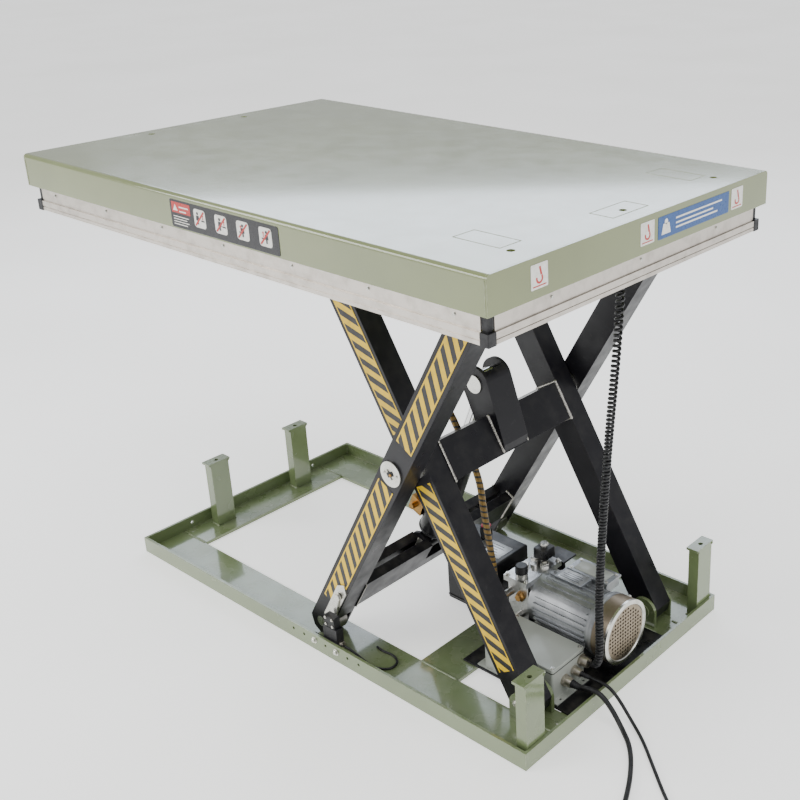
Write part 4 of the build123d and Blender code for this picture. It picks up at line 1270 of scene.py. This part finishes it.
# ------------------------------------------------------------------ deck
@dataclass
class Deck:
    """Deck sheet with skirts, its labels and the sprung trip edge."""

    skirt_y: float = -0.4
    end_x: float = 0.65

    def corner_welds(self) -> None:
        """Dressed and painted corner seams."""
        runs = []
        low, high = (Vector(v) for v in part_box("deck_sheet"))
        for sx in (-1, 1):
            for sy in (-1, 1):
                x, y = sx * (self.end_x - 0.0041), sy * 0.3998
                runs.append(((x, y, low.z + 0.003), (x, y, high.z - 0.010), (0, sy, 0)))
        weld("skirt_corner_seams", runs, 0.0016, Body.PLATFORM, DECK_GREEN)

    def weld_marks(self) -> None:
        """Shallow ground rectangles on the top where lugs are welded through."""
        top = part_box("deck_sheet")[1][2]
        for i, (x, y, w, h) in enumerate(((0.527, -0.265, 0.10, 0.05), (0.527, 0.265, 0.10, 0.05),
                                          (0.590, 0.0, 0.05, 0.10))):
            runs = []
            for a, b in (((-1, -1), (1, -1)), ((1, -1), (1, 1)), ((1, 1), (-1, 1)), ((-1, 1), (-1, -1))):
                runs.append(((x + a[0] * w / 2, y + a[1] * h / 2, top - 0.0004),
                             (x + b[0] * w / 2, y + b[1] * h / 2, top - 0.0004), (0, 0, 1)))
            weld(f"ground_mark_{i}", runs, 0.0014, Body.PLATFORM, DECK_GREEN)

    def face(self, x: float, z: float, front: bool) -> Matrix:
        """A local frame on the -Y skirt, or on the +X end, from a place along it and a height."""
        if front:
            return place((x, self.skirt_y - 0.0002, z), (1, 0, 0), (0, -1, 0))
        return place((self.end_x + 0.0002, x, z), (0, 1, 0), (1, 0, 0))

    def warning_strip(self) -> bpy.types.Object:
        """Black strip: a red header with bars, then four white tiles with simple figures."""
        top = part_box("deck_sheet")[1][2]
        middle = top - 0.037
        parts = [plate("strip_back", (0.311, 0.052, 0.0004), 0.004, INK_BLACK,
                       self.face(0.0245, middle, True), 0)]
        parts.append(plate("strip_header", (0.056, 0.020, 0.0003), 0.001, INK_RED,
                           self.face(-0.098, middle + 0.012, True) @ Matrix.Translation((0, 0, 0.0003)), 0))
        triangle = [(-0.024, -0.006), (-0.010, -0.006), (-0.017, 0.006)]
        lift = Matrix.Translation((0, 0, 0.0006))
        parts.append(flat_shape("strip_triangle", triangle, INK_WHITE,
                                self.face(-0.098, middle + 0.012, True) @ lift))
        for row, length in enumerate((0.028, 0.020)):
            bar = [(-0.005, 0.003 - row * 0.008), (-0.005 + length, 0.003 - row * 0.008),
                   (-0.005 + length, 0.0005 - row * 0.008), (-0.005, 0.0005 - row * 0.008)]
            parts.append(flat_shape(f"strip_header_bar_{row}", bar, INK_WHITE,
                                    self.face(-0.098, middle + 0.012, True) @ lift))
        for row in range(4):
            y = -0.004 - row * 0.0048
            bar = [(-0.025, y), (0.022 - 0.006 * (row % 2), y), (0.022 - 0.006 * (row % 2), y - 0.0016),
                   (-0.025, y - 0.0016)]
            parts.append(flat_shape(f"strip_line_{row}", bar, INK_WHITE,
                                    self.face(-0.098, middle, True) @ lift))
        for i in range(4):
            at = self.face(-0.042 + i * 0.062, middle + 0.002, True) @ Matrix.Translation((0, 0, 0.0003))
            parts.append(plate(f"strip_tile_{i}", (0.034, 0.034, 0.0003), 0.006, INK_WHITE, at, 0))
            parts += self.figure(i, at @ Matrix.Translation((0, 0, 0.0004)))
        return join_all("warning_strip", parts)

    def figure(self, kind: int, at: Matrix) -> list[bpy.types.Object]:
        """A simple figure beside a lifting table: head, body, table line and an arrow or a bar."""
        ring = [(0.0028 * math.cos(t),
                 0.009 + 0.0028 * math.sin(t)) for t in (math.pi * k / 8 for k in range(16))]
        body = [(-0.004, 0.005), (0.004, 0.005), (0.005, -0.004), (0.002, -0.004), (0.002, -0.011),
                (-0.002, -0.011), (-0.002, -0.004), (-0.005, -0.004)]
        slide = Matrix.Translation((-0.006 + 0.003 * kind, 0, 0))
        shapes = [flat_shape(f"figure_head_{kind}", ring, INK_BLACK, at @ slide),
                  flat_shape(f"figure_body_{kind}", body, INK_BLACK, at @ slide)]
        x = 0.004 if kind < 2 else -0.010
        deck = [(x, -0.002), (x + 0.010, -0.002), (x + 0.010, -0.0045), (x, -0.0045)]
        arrow = [(x + 0.004, -0.001), (x + 0.006, -0.001), (x + 0.006, 0.006), (x + 0.008, 0.006),
                 (x + 0.005, 0.010), (x + 0.002, 0.006), (x + 0.004, 0.006)]
        shapes.append(flat_shape(f"figure_deck_{kind}", deck, INK_BLACK, at))
        shapes.append(flat_shape(f"figure_arrow_{kind}", arrow, INK_RED, at))
        slash = [(-0.015, -0.013), (-0.012, -0.015), (0.015, 0.013), (0.012, 0.015)]
        lifted = at @ Matrix.Translation((0, 0, 0.0001))
        shapes.append(flat_shape(f"figure_slash_{kind}", slash, INK_RED, lifted))
        return shapes

    def capacity_plate(self) -> bpy.types.Object:
        """Blue plate with a white sign and plain bars."""
        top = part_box("deck_sheet")[1][2]
        at = self.face(0.145, top - 0.032, False)
        lift = at @ Matrix.Translation((0, 0, 0.0004))
        parts = [plate("capacity_back", (0.228, 0.040, 0.0004), 0.002, INK_BLUE, at, 0)]
        weight = [(-0.104, -0.013), (-0.076, -0.013), (-0.081, 0.006), (-0.099, 0.006)]
        parts.append(flat_shape("capacity_weight", weight, INK_WHITE, lift))
        eye = [(-0.090 + 0.005 * math.cos(t), 0.009 + 0.005 * math.sin(t))
               for t in (math.pi * k / 8 for k in range(16))]
        parts.append(flat_shape("capacity_weight_eye", eye, INK_WHITE, lift))
        for i, (y, width) in enumerate(((0.007, 0.150), (-0.002, 0.120), (-0.010, 0.135))):
            bar = [(-0.060, y), (-0.060 + width, y), (-0.060 + width, y + 0.0032), (-0.060, y + 0.0032)]
            parts.append(flat_shape(f"capacity_bar_{i}", bar, INK_WHITE, lift))
        return join_all("capacity_plate", parts)

    def hook_sticker(self, index: int, y: float) -> bpy.types.Object:
        """White sticker with a red hook and a red base line."""
        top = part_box("deck_sheet")[1][2]
        at = self.face(y, top - 0.031, False)
        lift = at @ Matrix.Translation((0, 0, 0.0004))
        parts = [plate(f"hook_back_{index}", (0.040, 0.040, 0.0004), 0.002, INK_WHITE, at, 0)]
        outer = [(0.0085 * math.cos(t), -0.004 + 0.0085 * math.sin(t))
                 for t in (math.radians(a) for a in range(-200, 41, 15))]
        inner = [(0.0048 * math.cos(t), -0.004 + 0.0048 * math.sin(t))
                 for t in (math.radians(a) for a in range(40, -201, -15))]
        parts.append(flat_shape(f"hook_curve_{index}", outer + inner, INK_RED, lift))
        stem = [(0.0022, 0.001), (0.0068, 0.001), (0.0030, 0.015), (-0.0012, 0.015)]
        parts.append(flat_shape(f"hook_stem_{index}", stem, INK_RED, lift))
        line = [(-0.016, -0.0165), (0.016, -0.0165), (0.016, -0.0145), (-0.016, -0.0145)]
        parts.append(flat_shape(f"hook_line_{index}", line, INK_RED, lift))
        return join_all(f"hook_sticker_{index}", parts)

    def trip_edge(self) -> None:
        """Screws and soft lip of the aluminium trip edge."""
        low, high = (Vector(v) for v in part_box("safety_edge_long"))
        x0, y0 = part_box("safety_edge_short")[1][0], high.y
        frames = []
        top = high.z - 0.034
        for sy in (-1, 1):
            for i in range(-3, 4):
                frames.append(place((i * 0.19, sy * (y0 - 0.003), top), (1, 0, 0), (0, sy, 0)))
        for sx in (-1, 1):
            for i in (-1, 0, 1):
                frames.append(place((sx * (x0 - 0.003), i * 0.24, top), (0, 1, 0), (sx, 0, 0)))
        rides(Body.TRIP, Copier.scatter("trip_edge_screws", bolt_head(0.0026, 0.0022, False), frames, ZINC))
        lip = [plate(f"trip_lip_{i}", size, 0.0015, BLACK_PLASTIC, at, 0.0005) for i,
               (size, at) in enumerate((
            ((1.236, 0.006, 0.0012), place((0, -(y0 - 0.006), low.z), (1, 0, 0), (0, 0, -1))),
            ((1.236, 0.006, 0.0012), place((0, y0 - 0.006, low.z), (1, 0, 0), (0, 0, -1))),
            ((0.736, 0.006, 0.0012), place((x0 - 0.006, 0, low.z), (0, 1, 0), (0, 0, -1))),
            ((0.736, 0.006, 0.0012), place((-(x0 - 0.006), 0, low.z), (0, 1, 0), (0, 0, -1)))))]
        rides(Body.TRIP, join_all("trip_edge_lip", lip))

    def build(self) -> None:
        """Pieces and finishes."""
        for node in ("deck_sheet", "deck_end_plates", "deck_underframe", "deck_pivot_brackets"):
            dress(node, DECK_GREEN)
        dress("safety_edge_long", ALU_X)
        dress("safety_edge_short", ALU_Y)
        dress("safety_corners", BLACK_PLASTIC)
        self.corner_welds()
        self.weld_marks()
        labels = [self.warning_strip(), self.capacity_plate()]
        labels += [self.hook_sticker(i, y) for i, y in enumerate((-0.2835, -0.0005, 0.2885))]
        rides(Body.PLATFORM, *labels)
        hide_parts("deck_labels")
        self.trip_edge()


# ------------------------------------------------------------------ power pack
@dataclass
class PowerPack:
    """Tank, valve block, motor and control box on the tray."""

    axis: Vector = field(default_factory=lambda: Vector(JOINTS["motor_shaft"]["pos_m"]))

    def on_x(self, x: float, dy: float = 0.0, dz: float = 0.0, sign: float = 1.0) -> Matrix:
        """A local frame whose z looks along X, at an offset from the motor's axis."""
        return place((x, self.axis.y + dy, self.axis.z + dz), (0, 1, 0), (sign, 0, 0))

    def motor(self) -> None:
        """Fan cover rim and screws, end bell bolts, fins' end ring and rating plate."""
        low, high = (Vector(v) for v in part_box("fan_cover"))
        rim = lathe("fan_cover_rim", [(0.0585, 0.0), (0.0685, -0.001), (0.0690, -0.004), (0.0688, 0.0012),
                                      (0.0660, 0.0022), (0.0600, 0.0020), (0.0585,
                                                                           0.0)], ZINC, self.on_x(high.x), 72)
        screws = [self.on_x(low.x + 0.010, 0, 0) @ Matrix.Rotation(math.radians(a), 4, "Z")
                  @ place((0.0680, 0, 0), (0, 1, 0), (1, 0, 0)) for a in (45, 135, 225, 315)]
        rides(Body.BASE, rim, Copier.scatter("fan_cover_screws", bolt_head(0.0032, 0.003, False), screws,
                                             ZINC))
        bolts = [self.on_x(0.387, 0.050 * math.cos(math.radians(a)), 0.050 * math.sin(math.radians(a)),
                           -1.0)
                 for a in (45, 135, 225, 315)]
        rides(Body.BASE, Copier.scatter("flange_bolts", bolt_head(0.0042, 0.0045), bolts, ZINC))
        nameplate = plate("motor_rating_plate", (0.060, 0.032, 0.0008), 0.002, INK_SILVER,
                          upright((0.453, self.axis.y + 0.015, self.axis.z + 0.063)))
        lines = [plate(f"rating_line_{i}", (0.050 - 0.010 * (i % 2), 0.0015, 0.0002), 0.0004, INK_BLACK,
                       upright((0.452, self.axis.y + 0.004 + 0.006 * i, self.axis.z + 0.0637)), 0)
                 for i in range(4)]
        rides(Body.BASE, join_all("motor_rating_plate", [nameplate] + lines))
        bell = lathe("motor_bell_ring",
                     [(0.0655, 0), (0.0668, 0.002), (0.0668, 0.010), (0.0655, 0.012), (0.0655, 0)],
                    CAST_ALU, self.on_x(0.546), 72)
        rides(Body.BASE, bell)

    def valve(self) -> None:
        """Hexagon plugs, knurled knob, socket screws and gauge port on the valve block."""
        y, top = self.axis.y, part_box("valve_block")[1][2]
        plug = [(0, 0), (0.0105, 0), (0.0105, 0.006), (0.0095, 0.0075), (0.005, 0.0075), (0.0045, 0.005),
                (0, 0.005)]
        for i, (x, dy) in enumerate(((0.340, -0.008), (0.372, 0.020), (0.340, 0.028))):
            rides(Body.BASE, lathe(f"block_plug_{i}", plug, ZINC, upright((x, y + dy, top)), 6))
        screws = [upright((x, y + dy, top)) for x in (0.331, 0.381) for dy in (-0.052, 0.052)]
        rides(Body.BASE, Copier.scatter("block_socket_screws", bolt_head(0.0042, 0.0048, False), screws,
                                        ZINC))
        knurl = [(0, 0.0)]
        for i in range(7):
            knurl += [(0.0135, 0.0012 + i * 0.0022), (0.0127, 0.0022 + i * 0.0022)]
        knurl += [(0.0118, 0.018), (0, 0.018)]
        knob = lathe("relief_valve_knob", knurl, TANK_BLACK, upright((0.356, y - 0.036, 0.158)), 40)
        solenoid = plate("solenoid_coil", (0.034, 0.036, 0.022), 0.005, TANK_BLACK,
                         upright((0.356, y + 0.038, 0.1622)), 0.002)
        stem = lathe("solenoid_stem", [(0, 0), (0.006, 0), (0.006, 0.004), (0.0085, 0.004), (0.0085, 0.009),
                                       (0.0075, 0.0105), (0, 0.0105)], ZINC,
                     upright((0.356, y + 0.038, 0.1842)), 24)
        side = [(0, 0), (0.0115, 0), (0.0115, 0.005), (0.0075, 0.007), (0.0075, 0.012), (0, 0.012)]
        port = lathe("gauge_port", side, BRASS, place((0.364, y - 0.048, 0.110), (1, 0, 0), (0, -1, 0)), 6)
        rides(Body.BASE, knob, solenoid, stem, port)

    def tank(self) -> None:
        """Silver label and seams of the oil tank, and the cap's grips and top disc."""
        label = plate("tank_label", (0.075, 0.050, 0.0006), 0.003, INK_SILVER,
                      upright((0.250, self.axis.y - 0.008, 0.162)))
        lines = [plate(f"tank_label_line_{i}", (0.055 - 0.012 * (i % 3), 0.002, 0.0002), 0.0005, INK_BLACK,
                       upright((0.248, self.axis.y - 0.024 + 0.008 * i, 0.1625)), 0)
                 for i in range(5)]
        rides(Body.BASE, join_all("tank_label", [label] + lines))
        seam = [((0.1530, self.axis.y - 0.050, z), (0.296, self.axis.y - 0.050, z), (0, -1, 0))
                for z in (0.030, 0.152)]
        weld("tank_seams", seam, 0.0022, Body.BASE, TANK_BLACK)
        cap = (Vector(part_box("filler_cap")[0]) + Vector(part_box("filler_cap")[1])) / 2
        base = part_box("filler_cap")[0][2]
        grips = []
        for i in range(20):
            angle = 2 * math.pi * i / 20
            out = Vector((math.cos(angle), math.sin(angle), 0))
            grips.append(place(Vector((cap.x, cap.y, base + 0.004)) + out * 0.0124,
                               out.cross(Vector((0, 0, 1))),
                               (0, 0, 1)))
        rib = lathe_mesh([(0, 0), (0.0010, 0.0002), (0.0011, 0.012), (0.0006, 0.0165), (0, 0.017)], 8)
        rides(Body.CAP, Copier.scatter("cap_grips", rib, grips, BLACK_PLASTIC))
        disc = lathe("cap_top", [(0, 0), (0.0112, 0), (0.0112, 0.0012), (0.0098, 0.0022), (0.004, 0.0026),
                                 (0, 0.0026)], RED_CAP,
                     upright((cap.x, cap.y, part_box("filler_cap")[1][2])))
        rides(Body.CAP, disc)

    def control_box(self) -> None:
        """Lid screws, gasket line and gland nuts of the control box."""
        low, high = (Vector(v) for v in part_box("junction_box_lid"))
        frames = [upright((x, y, high.z)) for x in (low.x + 0.007, high.x - 0.007)
                  for y in (low.y + 0.007, high.y - 0.007)]
        rides(Body.BASE, Copier.scatter("lid_screws", bolt_head(0.0030, 0.0022, False), frames, ZINC))
        gasket = plate("lid_gasket", (high.x - low.x + 0.0012, high.y - low.y + 0.0012, 0.0016), 0.0055,
                       BLACK_PLASTIC, place(((low.x + high.x) / 2, (low.y + high.y) / 2, low.z - 0.0008),
                                            (1, 0, 0), (0, 0, 1)), 0.0004)
        rides(Body.BASE, gasket)
        x = high.x
        for i, (y, z, r) in enumerate(((-0.117, 0.044, 0.009), (-0.088, 0.050, 0.0075),
                                       (-0.064, 0.060, 0.0095))):
            profile = [(0, 0), (r * 1.32, 0), (r * 1.36, 0.001), (r * 1.36, 0.0052), (r * 1.28, 0.006),
                       (0, 0.006)]
            collar = lathe(f"gland_nut_{i}", profile, GLAND, place((x, y, z), (0, 1, 0), (1, 0, 0)), 6)
            dome = [(0, 0), (r * 1.16, 0), (r * 1.16, 0.008), (r * 1.04, 0.0135), (r * 0.8, 0.0142),
                    (0, 0.0142)]
            cap = lathe(f"gland_dome_{i}", dome, GLAND, place((x + 0.006, y, z), (0, 1, 0), (1, 0, 0)), 12)
            rides(Body.BASE, collar, cap)

    def terminal_box(self) -> None:
        """Screws and lid panel on the motor's terminal box."""
        low, high = (Vector(v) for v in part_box("terminal_box"))
        frames = [upright((x, y, high.z)) for x in (low.x + 0.007, high.x - 0.007)
                  for y in (low.y + 0.007, high.y - 0.007)]
        rides(Body.BASE, Copier.scatter("terminal_screws", bolt_head(0.0028, 0.0022, False), frames, ZINC))
        rib = plate("terminal_lid_panel", (0.082, 0.034, 0.0012), 0.004, BOX_GREY,
                    upright(((low.x + high.x) / 2, (low.y + high.y) / 2, high.z)), 0.0008)
        rides(Body.BASE, rib)

    def pendant(self) -> None:
        """Collars and plain arrow marks of the hand control."""
        case_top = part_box("pendant_case")[1][2]
        for node, finish, up in (("pendant_up_button", KEY_WHITE, 1),
                                 ("pendant_down_button", KEY_BLACK, -1)):
            middle = mid(node)
            collar = lathe(node + "_collar", [(0.0088, 0), (0.0125, 0), (0.0125, 0.0012), (0.0112, 0.0022),
                                              (0.0090, 0.0022), (0.0088, 0)], ZINC,
                           upright((middle.x, middle.y, case_top)))
            rides(Body.BASE, collar)
            dress(node, finish)
            arrow = [(-0.0012, -0.012), (0.0012, -0.012), (0.0012, -0.0085), (0.0032, -0.0085), (0, -0.005),
                     (-0.0032, -0.0085), (-0.0012, -0.0085)]
            mark = flat_shape(node + "_arrow", arrow, INK_WHITE,
                              place((middle.x + 0.019, middle.y + up * 0.0085, case_top), (up, 0, 0),
                                    (0, 0, 1)))
            rides(Body.BASE, mark)

    def build(self) -> None:
        """Pieces and finishes."""
        for node, finish in (("power_pack_tray", TANK_BLACK), ("oil_tank", TANK_BLACK),
                             ("filler_cap", BLACK_PLASTIC),
                             ("valve_block", BLOCK_ALU), ("valve_fittings", ZINC), ("motor_housing",
                                                                                    CAST_ALU),
                             ("fan_cover", FAN_GOLD), ("motor_rotor", TANK_BLACK), ("terminal_box",
                                                                                    CAST_ALU),
                             ("junction_box", BOX_GREY), ("junction_box_lid", BOX_GREY), ("cable_glands",
                                                                                          GLAND),
                             ("mains_plug", BLACK_PLASTIC), ("pendant_case", BLACK_PLASTIC),
                             ("pendant_stop_button", STOP_RED)):
            dress(node, finish)
        self.motor()
        self.valve()
        self.tank()
        self.control_box()
        self.terminal_box()
        self.pendant()


def main() -> None:
    logging.basicConfig(level=logging.INFO)
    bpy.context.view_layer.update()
    Studio().build()
    Cords().build()
    for part in (BaseFrame(), ScissorArms(), Deck(), PowerPack()):
        log.info("building %s", type(part).__name__)
        part.build()


if __name__ == "__main__":
    main()
